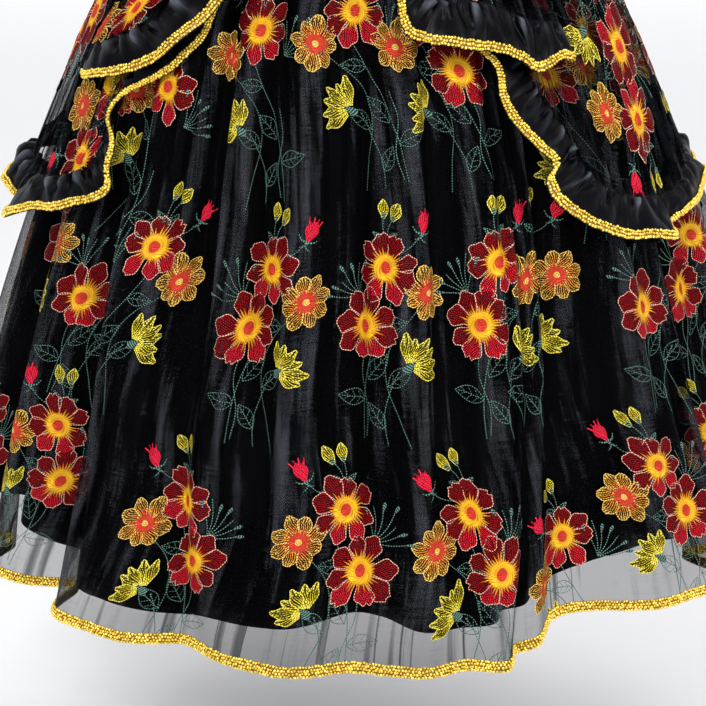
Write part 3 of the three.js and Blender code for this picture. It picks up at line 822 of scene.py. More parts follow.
class Finish:
    """A material: constants on its shader, and the nodes that vary it over the surface."""

    def __init__(self, name, **constants):
        self.material = bpy.data.materials.new(name)
        self.material.use_nodes = True
        self.tree = self.material.node_tree
        self.shader = next(n for n in self.tree.nodes if n.type == "BSDF_PRINCIPLED")
        for socket, value in constants.items():
            self.shader.inputs[socket.replace("_", " ")].default_value = value

    def node(self, kind, settings=None, inputs=(), output=0):
        """Adds a node: its settings first, then the values or links of its sockets."""
        node = self.tree.nodes.new(kind)
        for name, value in (settings or {}).items():
            if name == "stops":
                for k, (place, colour) in enumerate(value):
                    stops = node.color_ramp.elements
                    stop = stops[k] if k < 2 else stops.new(place)
                    stop.position = place
                    stop.color = (*colour, 1)
            else:
                setattr(node, name, value)
        pairs = inputs.items() if isinstance(inputs, dict) else enumerate(inputs)
        for socket, value in pairs:
            if isinstance(value, Wire):
                self.tree.links.new(value.socket, node.inputs[socket])
            elif value is not None:
                node.inputs[socket].default_value = value
        return Wire(self, node.outputs[output])

    def feed(self, socket, wire):
        self.tree.links.new(wire.socket, self.shader.inputs[socket])

    def uv(self):
        return self.node("ShaderNodeUVMap", {"uv_map": "cloth"})

    def scaled(self, across, down):
        """The cloth's own metres, scaled for a pattern that repeats so often across and down."""
        return self.node("ShaderNodeMapping", None, {"Vector": self.uv(), "Scale": (across, down, 1)})

    def noise(self, vector, scale=1.0, detail=2.0, roughness=0.5):
        return self.node("ShaderNodeTexNoise", None,
                         {"Vector": vector, "Scale": scale, "Detail": detail, "Roughness": roughness})

    def axis(self, vector, output):
        """One of a vector's three numbers."""
        return self.node("ShaderNodeSeparateXYZ", None, {"Vector": vector}, output)

    def blend(self, factor, first, second):
        """Two colours mixed."""
        return self.node("ShaderNodeMix", {"data_type": "RGBA"},
                         {"Factor": factor, 6: first, 7: second}, 2)

    def bump(self, height, strength, distance):
        self.feed("Normal", self.node("ShaderNodeBump", None,
                                      {"Height": height, "Strength": strength, "Distance": distance}))


def satin_finish(name, dark, light, wrinkle, shine, rough):
    """Black satin: a smooth close weave, crushed a little, with a highlight painted on its ridges."""
    satin = Finish(name, Specular_IOR_Level=shine)
    crush = satin.noise(satin.scaled(30, 14), detail=3.0, roughness=0.55)
    thread = satin.noise(satin.scaled(900, 60), detail=1.0)
    ridge = satin.node("ShaderNodeAttribute", {"attribute_name": "ridge"}, output=2)
    # Painted highlight: the light tone is laid over the dark one on ridges and where the crush noise is
    # high.
    painted_highlight = (ridge * 1.5 - 0.95 + crush * 0.55).clamped()
    satin.feed("Base Color", satin.blend(painted_highlight * painted_highlight * painted_highlight, (*dark, 1), (*light, 1)))
    satin.feed("Roughness", (crush * 0.16 + rough + thread * 0.06).clamped())
    satin.bump(crush, 0.5, wrinkle)
    return satin.material


def organza_finish(name, cover):
    """Sheer black organza: a fine plain weave, and a grey sheen painted on in watery streaks down the
    cloth and on its fold ridges.
    """
    organza = Finish(name, Specular_IOR_Level=0.0)
    streak = organza.noise(organza.scaled(46, 6), detail=3.0, roughness=0.6)
    water = organza.noise(organza.scaled(240, 14), detail=2.0)
    weft = organza.noise(organza.scaled(34, 520), detail=2.0)
    doubled = (organza.noise(organza.scaled(62, 1.6), detail=2.0) * 9.0 - 5.2).clamped()
    pinched = (organza.noise(organza.scaled(170, 1.5), detail=1.0) * 16.0 - 10.9).clamped()
    ridge = organza.node("ShaderNodeAttribute", {"attribute_name": "ridge"}, output=2)
    # Painted sheen: grey streaks down the cloth, stronger on fold ridges and broken by the weft; the
    # cloth is made more opaque and a little glossier there too.
    painted_sheen = (streak * 3.2 - 2.15 + ridge * 0.95 + (water - 0.5) * 0.7 + (weft - 0.5) * 1.1).clamped()
    aslant = organza.node("ShaderNodeLayerWeight", None, {"Blend": 0.5}, 1)
    # Painted sheen: near-black cloth where the mask is 0, a blue-grey sheen where it is 1.
    organza.feed("Base Color", organza.blend(painted_sheen, (0.0015, 0.0015, 0.002, 1), (0.056, 0.059, 0.070, 1)))
    organza.feed("Roughness", (0.50 - painted_sheen * 0.10).clamped())
    folded = aslant * aslant * aslant * 0.35 + doubled * 0.30 + pinched * 0.35
    organza.feed("Alpha", (cover + painted_sheen * 0.12 + folded).clamped())
    organza.bump(painted_sheen, 0.25, 0.002)
    return organza.material


def thread_finish(name, dark, light, gap, ridges, contrast, dashes, root=None):
    """Silky thread laid in stitches: ridges along them, darker where one ends and the next begins.

    root is the colour, and the fill, that a petal has where it starts.
    """
    thread = Finish(name, Specular_IOR_Level=0.03)
    wander = thread.noise(thread.scaled(260, 120), detail=2.0) * 5.0
    across = thread.axis(thread.uv(), 0) * ridges + wander
    ridge = across.sine()
    dash = (thread.axis(thread.uv(), 1) * 2100.0 + across * 0.5).sine()
    stitch = thread.noise(thread.scaled(1100, 380), detail=1.5, roughness=0.6)
    mottle = stitch * 2.4 - gap + ridge * contrast + dash * dashes
    bright = (*light, 1)
    if root:
        near = (1.0 - thread.axis(thread.uv(), 1) * 52.0).clamped()
        mottle = mottle + near * 0.8
        bright = thread.blend(near, bright, (*root, 1))
    mottle = mottle.clamped()
    thread.feed("Base Color", thread.blend(mottle, (*dark, 1), bright))
    thread.feed("Roughness", (0.50 + mottle * 0.10).clamped())
    thread.bump(mottle * 0.7 + ridge * 0.2, 0.6, 0.0006)
    return thread.material


def centre_finish(name):
    """The yellow centres: orange by the heart, yellow, then amber at the stitches' tips."""
    thread = Finish(name, Specular_IOR_Level=0.15)
    run = thread.axis(thread.uv(), 1)
    colour = thread.node("ShaderNodeValToRGB", {"stops": (
        (0.0, (0.62, 0.12, 0.008)), (0.20, (0.90, 0.40, 0.010)), (0.45, (0.90, 0.54, 0.013)),
        (0.74, (0.80, 0.34, 0.010)), (1.0, (0.60, 0.18, 0.008)))}, {"Fac": run * 62.0})
    stitch = thread.noise(thread.scaled(900, 160), detail=1.5, roughness=0.6)
    shade = (stitch * 3.6 - 1.15).clamped()
    thread.feed("Base Color", thread.blend(shade, (0.26, 0.08, 0.004, 1), colour))
    thread.feed("Roughness", (0.40 + shade * 0.15).clamped())
    thread.bump(shade, 0.6, 0.0006)
    return thread.material


def bead_finish(name):
    """Small gold-lined beads, a little uneven in tone."""
    beads = Finish(name, Specular_IOR_Level=0.6, IOR=1.5, Coat_Roughness=0.15)
    tone = beads.node("ShaderNodeAttribute", {"attribute_name": "tone"}, output=2)
    gold = beads.blend(tone.clamped(), (0.60, 0.38, 0.022, 1), (0.98, 0.76, 0.14, 1))
    # The tape, whose tone is -1, takes a dark brown: partly its own dark gold, partly painted shade
    # between the beads.
    beads.feed("Base Color", beads.blend((0.0 - tone).clamped(), gold, (0.23, 0.115, 0.006, 1)))
    beads.feed("Metallic", (tone * 0.25 + 0.45).clamped(0.2))
    beads.feed("Roughness", (0.34 - tone * 0.12).clamped())
    return beads.material


def floor_finish():
    """Pale paper that glows softly far off, as a lit studio wall does."""
    paper = Finish("studio_paper", Roughness=0.8, Specular_IOR_Level=0.2, Emission_Strength=1.0)
    place = paper.node("ShaderNodeTexCoord", output=3)
    far = paper.node("ShaderNodeVectorMath", {"operation": "LENGTH"}, (place,), 1)
    glow = ((far - 2.0) * 0.16).clamped()
    mist = paper.node("ShaderNodeTexNoise", None, {"Vector": place, "Scale": 1.5, "Detail": 1.0})
    paper.feed("Base Color", paper.blend(mist, (0.82, 0.822, 0.838, 1), (0.85, 0.852, 0.868, 1)))
    paper.feed("Emission Color", paper.blend(glow, (0, 0, 0, 1), (0.42, 0.424, 0.435, 1)))
    return paper.material


# ---- meshes ----------------------------------------------------------------------------------
def link(thing):
    bpy.context.scene.collection.objects.link(thing)
    return thing


def give(mesh, attributes):
    """Adds point attributes to a mesh: numbers, or rows of three."""
    for name, values in attributes.items():
        values = np.asarray(values, dtype=np.float32)
        kind, key = ("FLOAT_VECTOR", "vector") if values.ndim == 2 else ("FLOAT", "value")
        mesh.attributes.new(name, kind, "POINT").data.foreach_set(key, values.ravel())


def piece(name, points, faces, material, uv=None, attributes=None):
    """A mesh of points in mm, at the origin, with its uv in metres of cloth."""
    mesh = bpy.data.meshes.new(name)
    mesh.from_pydata((points * MM).tolist(), [], faces.tolist())
    if uv is not None:
        layer = mesh.uv_layers.new(name="cloth")
        corners = np.empty(len(mesh.loops), dtype=np.int32)
        mesh.loops.foreach_get("vertex_index", corners)
        layer.data.foreach_set("uv", (uv * MM)[corners].astype(np.float32).ravel())
    give(mesh, attributes or {})
    if material is not None:
        mesh.materials.append(material)
    mesh.shade_smooth()
    return link(bpy.data.objects.new(name, mesh))


def grid(rings, columns):
    """Faces of a grid of points, ring by ring, which face outwards."""
    corner = np.arange(rings - 1)[:, None] * columns + np.arange(columns - 1)[None, :]
    return np.stack([corner, corner + columns, corner + columns + 1, corner + 1], axis=-1).reshape(-1, 4)


def sew(name, cloth, material, thickness, folds_seen=BROAD_FOLDS):
    """Cloth as a thin closed shell, with its uv in its own mm and the ridge measure on which its material
    paints a highlight or sheen.
    """
    x, y, _ = cloth.laid_flat()
    ridge = cloth.whole(cloth.standing_out(*folds_seen))
    sheet = piece(name, cloth.whole(cloth.points).reshape(-1, 3), grid(*x.shape), material,
                  np.stack([x, y], axis=-1).reshape(-1, 2), {"ridge": ridge.ravel()})
    weld = sheet.modifiers.new("join", "WELD")
    weld.merge_threshold = JOIN_GAP * MM
    wall = sheet.modifiers.new("wall", "SOLIDIFY")
    wall.thickness = thickness * MM
    wall.offset = 0
    return sheet


# ---- what is put on the cloth ----------------------------------------------------------------
class Tree:
    """A Geometry Nodes tree with named inputs."""

    def __init__(self, name, **inputs):
        self.tree = bpy.data.node_groups.new(name, "GeometryNodeTree")
        self.tree.interface.new_socket("Geometry", in_out="INPUT", socket_type="NodeSocketGeometry")
        for title, kind in inputs.items():
            self.tree.interface.new_socket(title.replace("_", " "), in_out="INPUT",
                                           socket_type="NodeSocket" + kind)
        self.tree.interface.new_socket("Geometry", in_out="OUTPUT", socket_type="NodeSocketGeometry")
        self.given = self.add("NodeGroupInput").outputs

    def add(self, kind, settings=None, **inputs):
        """Adds a node: its settings first, then the values or links of its sockets.

        A socket goes by its name, or by its number after an underscore where names repeat.
        """
        node = self.tree.nodes.new(kind)
        for name, value in (settings or {}).items():
            setattr(node, name, value)
        for name, value in inputs.items():
            if name[0] == "_":
                socket = node.inputs[int(name[1:])]
            else:
                socket = node.inputs[name.replace("_", " ")]
            if isinstance(value, bpy.types.NodeSocket):
                self.tree.links.new(value, socket)
            else:
                socket.default_value = value
        return node

    def maths(self, operation, first, second):
        return self.add("ShaderNodeMath", {"operation": operation}, _0=first, _1=second).outputs[0]

    def attribute(self, name, kind="FLOAT"):
        named = self.add("GeometryNodeInputNamedAttribute", {"data_type": kind}, Name=name)
        return named.outputs["Attribute"]

    def keep(self, geometry, name, kind, value):
        """Stores a value on every instance."""
        return self.add("GeometryNodeStoreNamedAttribute", {"data_type": kind, "domain": "INSTANCE"},
                        Geometry=geometry, Name=name, Value=value).outputs["Geometry"]

    def finish(self, geometry):
        """Ends the tree: real geometry, in its material."""
        real = self.add("GeometryNodeRealizeInstances", Geometry=geometry)
        finished = self.add("GeometryNodeSetMaterial", Geometry=real.outputs["Geometry"],
                            Material=self.given["Finish"])
        self.add("NodeGroupOutput", Geometry=finished.outputs["Geometry"])
        return self

    def run(self, name, points, attributes, **given):
        """Grows the tree from bare points, in metres, and returns the result as a plain mesh."""
        mesh = bpy.data.meshes.new(name + "_places")
        mesh.from_pydata(np.asarray(points).tolist(), [], [])
        give(mesh, attributes)
        holder = link(bpy.data.objects.new(name + "_places", mesh))
        nodes = holder.modifiers.new("grow", "NODES")
        nodes.node_group = self.tree
        for socket in self.tree.interface.items_tree:
            title = socket.name.replace(" ", "_")
            if socket.in_out == "INPUT" and title in given:
                nodes[socket.identifier] = given[title]
        held = holder.evaluated_get(bpy.context.evaluated_depsgraph_get())
        grown = bpy.data.meshes.new_from_object(held)
        grown.name = name
        bpy.data.objects.remove(holder)
        return link(bpy.data.objects.new(name, grown))


def bead_tree():
    """Puts a bead at every point, laid along the braid and turned to face out of the cloth."""
    tree = Tree("sew_on_beads", Bead_Width="Float", Bead_Length="Float", Seed="Int", Finish="Material")
    bead = tree.add("GeometryNodeMeshIcoSphere", Radius=0.5, Subdivisions=1)
    round_bead = tree.add("GeometryNodeSetShadeSmooth", Geometry=bead.outputs["Mesh"])
    facing = tree.add("FunctionNodeAlignRotationToVector", {"axis": "Z"},
                      Vector=tree.attribute("outwards", "FLOAT_VECTOR"))
    lying = tree.add("FunctionNodeAlignRotationToVector", {"axis": "X", "pivot_axis": "Z"},
                     Rotation=facing.outputs["Rotation"],
                     Vector=tree.attribute("lengthways", "FLOAT_VECTOR"))
    width = tree.given["Bead Width"]
    size = tree.add("ShaderNodeCombineXYZ", X=tree.given["Bead Length"], Y=width, Z=width)
    smallest, largest = BEAD_UNEVEN
    uneven = tree.add("FunctionNodeRandomValue", {"data_type": "FLOAT"}, _2=smallest, _3=largest,
                      Seed=tree.given["Seed"])
    scale = tree.add("ShaderNodeVectorMath", {"operation": "SCALE"}, Vector=size.outputs["Vector"],
                     Scale=uneven.outputs[1])
    beads = tree.add("GeometryNodeInstanceOnPoints", Points=tree.given["Geometry"],
                     Instance=round_bead.outputs["Geometry"], Rotation=lying.outputs["Rotation"],
                     Scale=scale.outputs["Vector"])
    tone = tree.add("FunctionNodeRandomValue", {"data_type": "FLOAT"}, Seed=tree.given["Seed"])
    return tree.finish(tree.keep(beads.outputs["Instances"], "tone", "FLOAT", tone.outputs[1]))


def embroidery_tree():
    """Lays flat motifs out on the cutting table, then carries each stitch to its place on the cloth."""
    tree = Tree("embroider", Motifs="Collection", Cloth="Object", Lift="Float", Finish="Material")
    motifs = tree.add("GeometryNodeCollectionInfo", Collection=tree.given["Motifs"],
                      Separate_Children=True, Reset_Children=True)
    turned = tree.add("ShaderNodeCombineXYZ", Z=tree.attribute("tilt"))
    mirrored = tree.add("ShaderNodeCombineXYZ", X=tree.attribute("handed"), Y=1.0, Z=1.0)
    laid = tree.add("GeometryNodeInstanceOnPoints", Points=tree.given["Geometry"],
                    Instance=motifs.outputs["Instances"], Pick_Instance=True,
                    Instance_Index=tree.attribute("variant"), Rotation=turned.outputs["Vector"],
                    Scale=mirrored.outputs["Vector"])
    place = tree.add("GeometryNodeInputPosition").outputs["Position"]
    centred = tree.keep(laid.outputs["Instances"], "centre", "FLOAT_VECTOR", place)
    real = tree.add("GeometryNodeRealizeInstances", Geometry=centred)
    turned_back = tree.add("FunctionNodeCompare", {"data_type": "FLOAT", "operation": "LESS_THAN"},
                           A=tree.attribute("handed"), B=0.0)
    upright = tree.add("GeometryNodeFlipFaces", Mesh=real.outputs["Geometry"],
                       Selection=turned_back.outputs["Result"])

    cloth = tree.add("GeometryNodeObjectInfo", Object=tree.given["Cloth"]).outputs["Geometry"]
    flat = tree.attribute("cloth", "FLOAT_VECTOR")

    def on_cloth(value, kind, x, y):
        where = tree.add("ShaderNodeCombineXYZ", X=x, Y=y)
        return tree.add("GeometryNodeSampleUVSurface", {"data_type": kind}, Mesh=cloth, Value=value,
                        Source_UV_Map=flat, Sample_UV=where.outputs["Vector"]).outputs

    spot = tree.add("ShaderNodeSeparateXYZ", Vector=place).outputs
    middle = tree.add("ShaderNodeSeparateXYZ", Vector=tree.attribute("centre", "FLOAT_VECTOR")).outputs
    stretch = on_cloth(tree.attribute("stretch"), "FLOAT", middle[0], spot[1])[0]
    across = tree.maths("MULTIPLY", tree.maths("SUBTRACT", spot[0], middle[0]), stretch)
    x = tree.maths("ADD", middle[0], across)
    point, on_it = on_cloth(place, "FLOAT_VECTOR", x, spot[1])
    facing = on_cloth(tree.attribute("facing", "FLOAT_VECTOR"), "FLOAT_VECTOR", x, spot[1])[0]
    unit = tree.add("ShaderNodeVectorMath", {"operation": "NORMALIZE"}, Vector=facing)
    out = tree.add("ShaderNodeVectorMath", {"operation": "SCALE"}, Vector=unit.outputs["Vector"],
                   Scale=tree.maths("ADD", spot[2], tree.given["Lift"]))
    goal = tree.add("ShaderNodeVectorMath", {"operation": "ADD"}, _0=point, _1=out.outputs["Vector"])
    off_it = tree.add("FunctionNodeBooleanMath", {"operation": "NOT"}, _0=on_it)
    kept = tree.add("GeometryNodeDeleteGeometry", {"domain": "POINT"}, Geometry=upright.outputs["Mesh"],
                    Selection=off_it.outputs[0])
    sewn = tree.add("GeometryNodeSetPosition", Geometry=kept.outputs["Geometry"],
                    Position=goal.outputs["Vector"])
    return tree.finish(sewn.outputs["Geometry"])


def bead_places(cloth, width, rows, seed, stretch):
    """Where beads lie along the cloth's lower edge: close uneven rows, half a bead out of step.

    stretch is the part of the edge that they cover, as shares of its length.
    """
    dice = np.random.default_rng(seed)
    total = cloth.round[-1, -1]
    count = int(total / BEAD_PITCH)
    first, last = stretch
    walk = np.linspace(first, last, max(2, int(count * (last - first)))) * total
    places, out, along_braid = [], [], []
    for row in range(rows):
        up = (BEAD_INSET + row * (width - 2 * BEAD_INSET) / (rows - 1)
              + dice.uniform(-STRAY_ACROSS, STRAY_ACROSS, len(walk)))
        at_ring = np.interp(cloth.down[-1] - up, cloth.down, np.arange(cloth.rings))
        stray = dice.uniform(-STRAY_ALONG, STRAY_ALONG, len(walk))
        step = walk + BEAD_PITCH * (0.5 * (row % 2) + stray)
        column = np.interp(step, cloth.round[-1], np.arange(cloth.round.shape[1]))
        point = cloth.blend(cloth.points, at_ring, column)
        facing = cloth.blend(cloth.facing, at_ring, column)
        facing /= np.linalg.norm(facing, axis=1, keepdims=True)
        ahead = cloth.blend(cloth.points, at_ring, column + 0.2) - point
        ahead /= np.maximum(np.linalg.norm(ahead, axis=1, keepdims=True), 1e-6)
        crown = math.sin(math.pi * (row + 0.5) / rows)
        places.append(point + facing * (BEAD_OUT + BEAD_CROWN * crown))
        out.append(facing)
        along_braid.append(ahead)
    return np.concatenate(places), np.concatenate(out), np.concatenate(along_braid)


def tape(name, cloth, width, material, stretch):
    """The dark gold tape that the beads are sewn to; its colour is darkened further as painted shade
    between the beads.
    """
    first, last = stretch
    total = cloth.round[-1, -1]
    walk = np.linspace(first, last, max(2, int(total * (last - first) / TAPE_STEP))) * total
    column = np.interp(walk, cloth.round[-1], np.arange(cloth.round.shape[1]))
    rows = []
    for up, out in ((width - TAPE_INSET, TAPE_EDGE_OUT), (width / 2, TAPE_MIDDLE_OUT),
                    (TAPE_INSET, TAPE_EDGE_OUT)):
        ring = np.full(len(walk), np.interp(cloth.down[-1] - up, cloth.down, np.arange(cloth.rings)))
        facing = cloth.blend(cloth.facing, ring, column)
        facing /= np.linalg.norm(facing, axis=1, keepdims=True)
        rows.append(cloth.blend(cloth.points, ring, column) + out * facing)
    points = np.stack(rows).reshape(-1, 3)
    return piece(name + "_tape", points, grid(3, len(walk)), material, None,
                 {"tone": np.full(len(points), -1.0)})


def braid(name, cloth, width, rows, tree, material, seed, stretch=(0.0, 1.0)):
    """Beads and their tape along a cloth's edge, as one plain mesh."""
    places, out, ahead = bead_places(cloth, width, rows, seed, stretch)
    beads = tree.run(name, places * MM, {"outwards": out, "lengthways": ahead},
                     Bead_Width=BEAD_WIDE * (width - 2 * BEAD_INSET) / (rows - 1) * MM,
                     Bead_Length=BEAD_LONG * BEAD_PITCH * MM, Seed=seed, Finish=material)
    backing = tape(name, cloth, width, material, stretch)
    with bpy.context.temp_override(active_object=beads, selected_editable_objects=[beads, backing]):
        bpy.ops.object.join()
    return beads


def cutting_table(cloths):
    """All the cloths in place as one mesh, whose uv lays them side by side, and where each starts."""
    parts = {"points": [], "faces": [], "uv": [], "facing": [], "stretch": []}
    starts, start, count = {}, 0.0, 0
    for name, cloth in cloths.items():
        x, y, stretch = cloth.laid_flat()
        parts["points"].append(cloth.whole(cloth.points).reshape(-1, 3))
        parts["faces"].append(grid(*x.shape) + count)
        parts["uv"].append(np.stack([x + start, y], axis=-1).reshape(-1, 2))
        parts["facing"].append(cloth.whole(cloth.facing).reshape(-1, 3))
        parts["stretch"].append(stretch.ravel())
        starts[name] = start
        start += x.max() + TABLE_GAP
        count += x.size
    points, faces, uv, facing, stretch = (np.concatenate(rows) for rows in parts.values())
    return piece("cutting_table", points, faces, None, uv, {"facing": facing, "stretch": stretch}), starts


# ---- where the embroidery lies ---------------------------------------------------------------
# What of a cluster shows, by name.
SHOWN = {
    "all": "bud upper lower gold",
    "one_red": "bud upper gold",
    "no_red": "bud gold",
    "lower": "lower",
}
SEEDS = (11, 42, 73)
VARIANTS = [(seed, shows) for shows in SHOWN for seed in SEEDS]

# Fold row and drop of a cluster's upper red flower, whether it is mirrored, by how many degrees
# it is turned to the left, and what of it shows.
CLUSTERS = [
    # under the waistband
    (16.4, 66, 0, 4, "one_red"), (19.6, 58, 0, -3, "one_red"), (22.5, 62, 0, 5, "one_red"),
    (25.6, 55, 0, 0, "one_red"), (28.6, 64, 0, 6, "one_red"), (31.9, 60, 0, 2, "one_red"),
    (35.0, 66, 0, -4, "one_red"), (38.1, 58, 0, 5, "one_red"), (41.2, 62, 0, 0, "one_red"),
    (44.3, 66, 0, 4, "one_red"), (2.4, 60, 0, -5, "one_red"), (5.6, 64, 0, 3, "one_red"),
    (8.8, 58, 0, 0, "one_red"), (12.6, 62, 0, 5, "one_red"),
    # above the ruffles
    (15.4, 352, 1, -26, "one_red"), (19.4, 287, 1, -4, "one_red"), (22.1, 266, 1, -2, "one_red"),
    (24.6, 270, 1, -4, "all"), (30.2, 343, 1, -3, "one_red"), (32.6, 300, 1, 0, "all"),
    (35.6, 305, 1, 4, "one_red"), (38.4, 298, 1, -5, "all"), (41.3, 306, 1, 2, "one_red"),
    (44.2, 296, 1, -3, "all"), (2.3, 303, 1, 4, "one_red"), (5.5, 298, 1, 0, "all"),
    (8.8, 306, 1, -4, "one_red"), (12.0, 300, 1, 3, "all"),
    # mid-height
    (14.15, 536, 0, 0, "lower"), (16.35, 521, 0, 0, "one_red"), (20.2, 538, 0, 8, "all"),
    (23.1, 532, 0, 11, "all"), (26.0, 532, 0, 9, "all"), (28.4, 532, 0, 4, "no_red"),
    (32.6, 545, 0, 0, "lower"), (35.0, 552, 0, 4, "all"), (37.8, 560, 0, -3, "all"),
    (40.6, 552, 0, 5, "all"), (43.4, 560, 0, 0, "all"), (1.5, 553, 0, -4, "all"),
    (4.6, 560, 0, 5, "all"), (7.7, 552, 0, 0, "all"), (11.5, 500, 0, 3, "all"),
    # near the hem
    (13.2, 744, 1, -22, "all"), (18.2, 794, 1, -6, "all"), (21.9, 792, 1, -10, "all"),
    (25.2, 799, 1, -4, "all"), (29.4, 852, 1, -2, "one_red"), (31.3, 778, 1, -4, "all"),
    (34.5, 786, 1, 5, "all"), (37.5, 790, 1, -4, "all"), (40.5, 796, 1, 3, "all"),
    (43.4, 788, 1, 0, "all"), (1.3, 794, 1, -5, "all"), (4.3, 788, 1, 4, "all"),
    (7.3, 796, 1, 0, "all"), (10.2, 780, 1, -3, "all"),
]

# The same on the overskirt's panels, by turn from the front and drop.
PANEL_CLUSTERS = {
    "lower_left": [(60.2, 408, 0, 211, "all"), (88, 330, 1, 150, "all"), (118, 345, 0, 205, "all"),
                   (148, 328, 1, 165, "all"), (172, 345, 0, 190, "all"), (72, 180, 1, 160, "one_red"),
                   (108, 170, 0, 200, "one_red"), (146, 178, 1, 170, "one_red")],
    "lower_right": [(-55, 438, 0, 144, "one_red"), (-88, 335, 0, 160, "all"),
                    (-118, 345, 1, 195, "all"), (-148, 330, 0, 170, "all"), (-174, 345, 1, 190, "all"),
                    (-75, 180, 0, 165, "one_red"), (-110, 172, 1, 200, "one_red"),
                    (-148, 178, 0, 175, "one_red")],
    "upper_left": [(24, 215, 0, 200, "one_red")],
    "upper_right": [(-50, 268, 0, 227, "one_red"), (-27, 180, 1, 160, "one_red")],
}

# Each thread's piece and slot, dark and light tone, gap, ridges to the metre, how strongly the
# ridges and the ends of the stitches show and, for some, the tone where a petal starts.
THREADS = {
    "maroon": ("petals_maroon", "maroon_thread", (0.016, 0.0008, 0.0015), (0.37, 0.006, 0.010),
               1.32, 2700, 0.80, 0.40),
    "crimson": ("petals_crimson", "crimson_thread", (0.045, 0.001, 0.003), (0.74, 0.016, 0.032),
                1.16, 2700, 0.80, 0.40),
    "rose": ("buds_rose", "crimson_thread", (0.16, 0.002, 0.008), (0.90, 0.025, 0.065),
             0.92, 2700, 0.6, 0.3),
    "pink": ("outlines_pink", "pink_thread", (0.22, 0.060, 0.036), (0.85, 0.52, 0.38),
             0.72, 1500, 0.1, 0.6),
    "red": ("hearts_red", "red_thread", (0.18, 0.008, 0.005), (0.86, 0.080, 0.042),
            0.80, 2700, 0.4, 0.2),
    "bronze": ("grounds_bronze", "gold_thread", (0.012, 0.006, 0.001), (0.72, 0.39, 0.050),
               1.66, 2500, 1.0, 0.3, (0.80, 0.13, 0.028)),
    "gold": ("petals_gold", "gold_thread", (0.22, 0.10, 0.010), (0.90, 0.60, 0.15),
             0.70, 1500, 0.1, 0.5),
    "olive": ("grounds_olive", "lime_thread", (0.014, 0.012, 0.001), (0.66, 0.53, 0.030),
              1.72, 2500, 1.0, 0.3, (0.80, 0.62, 0.025)),
    "lime": ("petals_lime", "lime_thread", (0.22, 0.18, 0.010), (0.90, 0.78, 0.13),
             0.70, 1500, 0.1, 0.5),
    "teal": ("stems_teal", "teal_thread", (0.004, 0.016, 0.012), (0.140, 0.25, 0.21),
             0.98, 1500, 0.1, 0.85),
}
NO_THREAD = {"points": [np.zeros((0, 3))], "faces": [np.zeros((0, 4), int)], "uv": [np.zeros((0, 2))]}


def embroider(clusters, table, finishes):
    """Sews every cluster, and returns one mesh a thread.

    clusters are rows of x, y, tilt, handed and variant, and a thread's finish is its piece's name
    and its material.
    """
    motifs = [flower_cluster(seed, SHOWN[shows]) for seed, shows in VARIANTS]
    tree = embroidery_tree()
    places = np.array(clusters, float)
    spots = np.concatenate([places[:, :2] * MM, np.zeros((len(places), 1))], axis=1)
    sewn = []
    for thread, (name, material) in finishes.items():
        drawer = bpy.data.collections.new(f"motifs_{thread}")
        for k, motif in enumerate(motifs):
            parts = motif.threads.get(thread, NO_THREAD)
            points, faces, uv = (np.concatenate(parts[key]) for key in ("points", "faces", "uv"))
            drawer.objects.link(piece(f"{thread}_{k:02d}", points, faces, None, uv))
        sewn.append(tree.run(name, spots,
                             {"tilt": places[:, 2], "handed": places[:, 3], "variant": places[:, 4]},
                             Motifs=drawer, Cloth=table, Lift=EMBROIDERY_LIFT * MM, Finish=material))
        for flat in list(drawer.objects):
            bpy.data.objects.remove(flat)
        bpy.data.collections.remove(drawer)
    return sewn


# ---- the pieces ------------------------------------------------------------------------------
# The second tone of each satin is the highlight painted on its ridges.
lining_satin = satin_finish("lining_satin", (0.0015, 0.0015, 0.002), (0.004, 0.004, 0.006),
                            wrinkle=0.002, shine=0.05, rough=0.44)
ruffle_satin = satin_finish("ruffle_satin", (0.001, 0.001, 0.002), (0.115, 0.125, 0.157),
                            wrinkle=0.004, shine=0.06, rough=0.26)
band_satin = satin_finish("band_satin", (0.002, 0.002, 0.003), (0.008, 0.008, 0.010),
                          wrinkle=0.002, shine=0.20, rough=0.30)
sheer = organza_finish("sheer_organza", 0.29)
sheer_over = organza_finish("sheer_overskirt", 0.25)
gold_beads = bead_finish("gold_beads")
beads_tree = bead_tree()

skirt = skirt_cloth(np.linspace(0, 1, SKIRT_RINGS), inner=False)
under = skirt_cloth(np.linspace(0, 1, LINING_RINGS), inner=True)

organza_skirt = sew("organza_skirt", skirt, sheer, ORGANZA_THICKNESS)
satin_lining = sew("satin_lining", under, lining_satin, SATIN_THICKNESS)
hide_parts(*(f"organza_{gore}" for gore in GORES))
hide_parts(*(f"lining_{gore}" for gore in GORES))
made = [organza_skirt, satin_lining]

for seed, side, half, gores in ((1, "right", (0.0, 0.5), GORES[:2]),
                                (2, "left", (0.5, 1.0), GORES[2:])):
    beads = braid(f"hem_beads_{side}", skirt, *HEM_BRAID, beads_tree, gold_beads, seed, half)
    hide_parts(*(f"hem_braid_{gore}" for gore in gores))
    made.append(beads)

panels, sheets, frills = {}, {}, {}
for seed, name in enumerate(STEPS, start=10):
    panel, ruffle = step_cloths(name)
    sheet = sew(f"{name}_organza", panel, sheer_over, ORGANZA_THICKNESS)
    frill = sew(f"{name}_frill", ruffle, ruffle_satin, SATIN_THICKNESS, FRILL_FOLDS)
    beads = braid(f"{name}_beads", ruffle, *RUFFLE_BRAID, beads_tree, gold_beads, seed)
    panels[name], sheets[name], frills[name] = panel, sheet, frill
    for thing, node, slot in ((sheet, "panel", "organza"), (frill, "ruffle", "ruffle_satin"),
                              (beads, "braid", "gold_braid")):
        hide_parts(f"{name}_{node}")
        made.append(thing)

table, starts = cutting_table({"skirt": skirt, **panels})


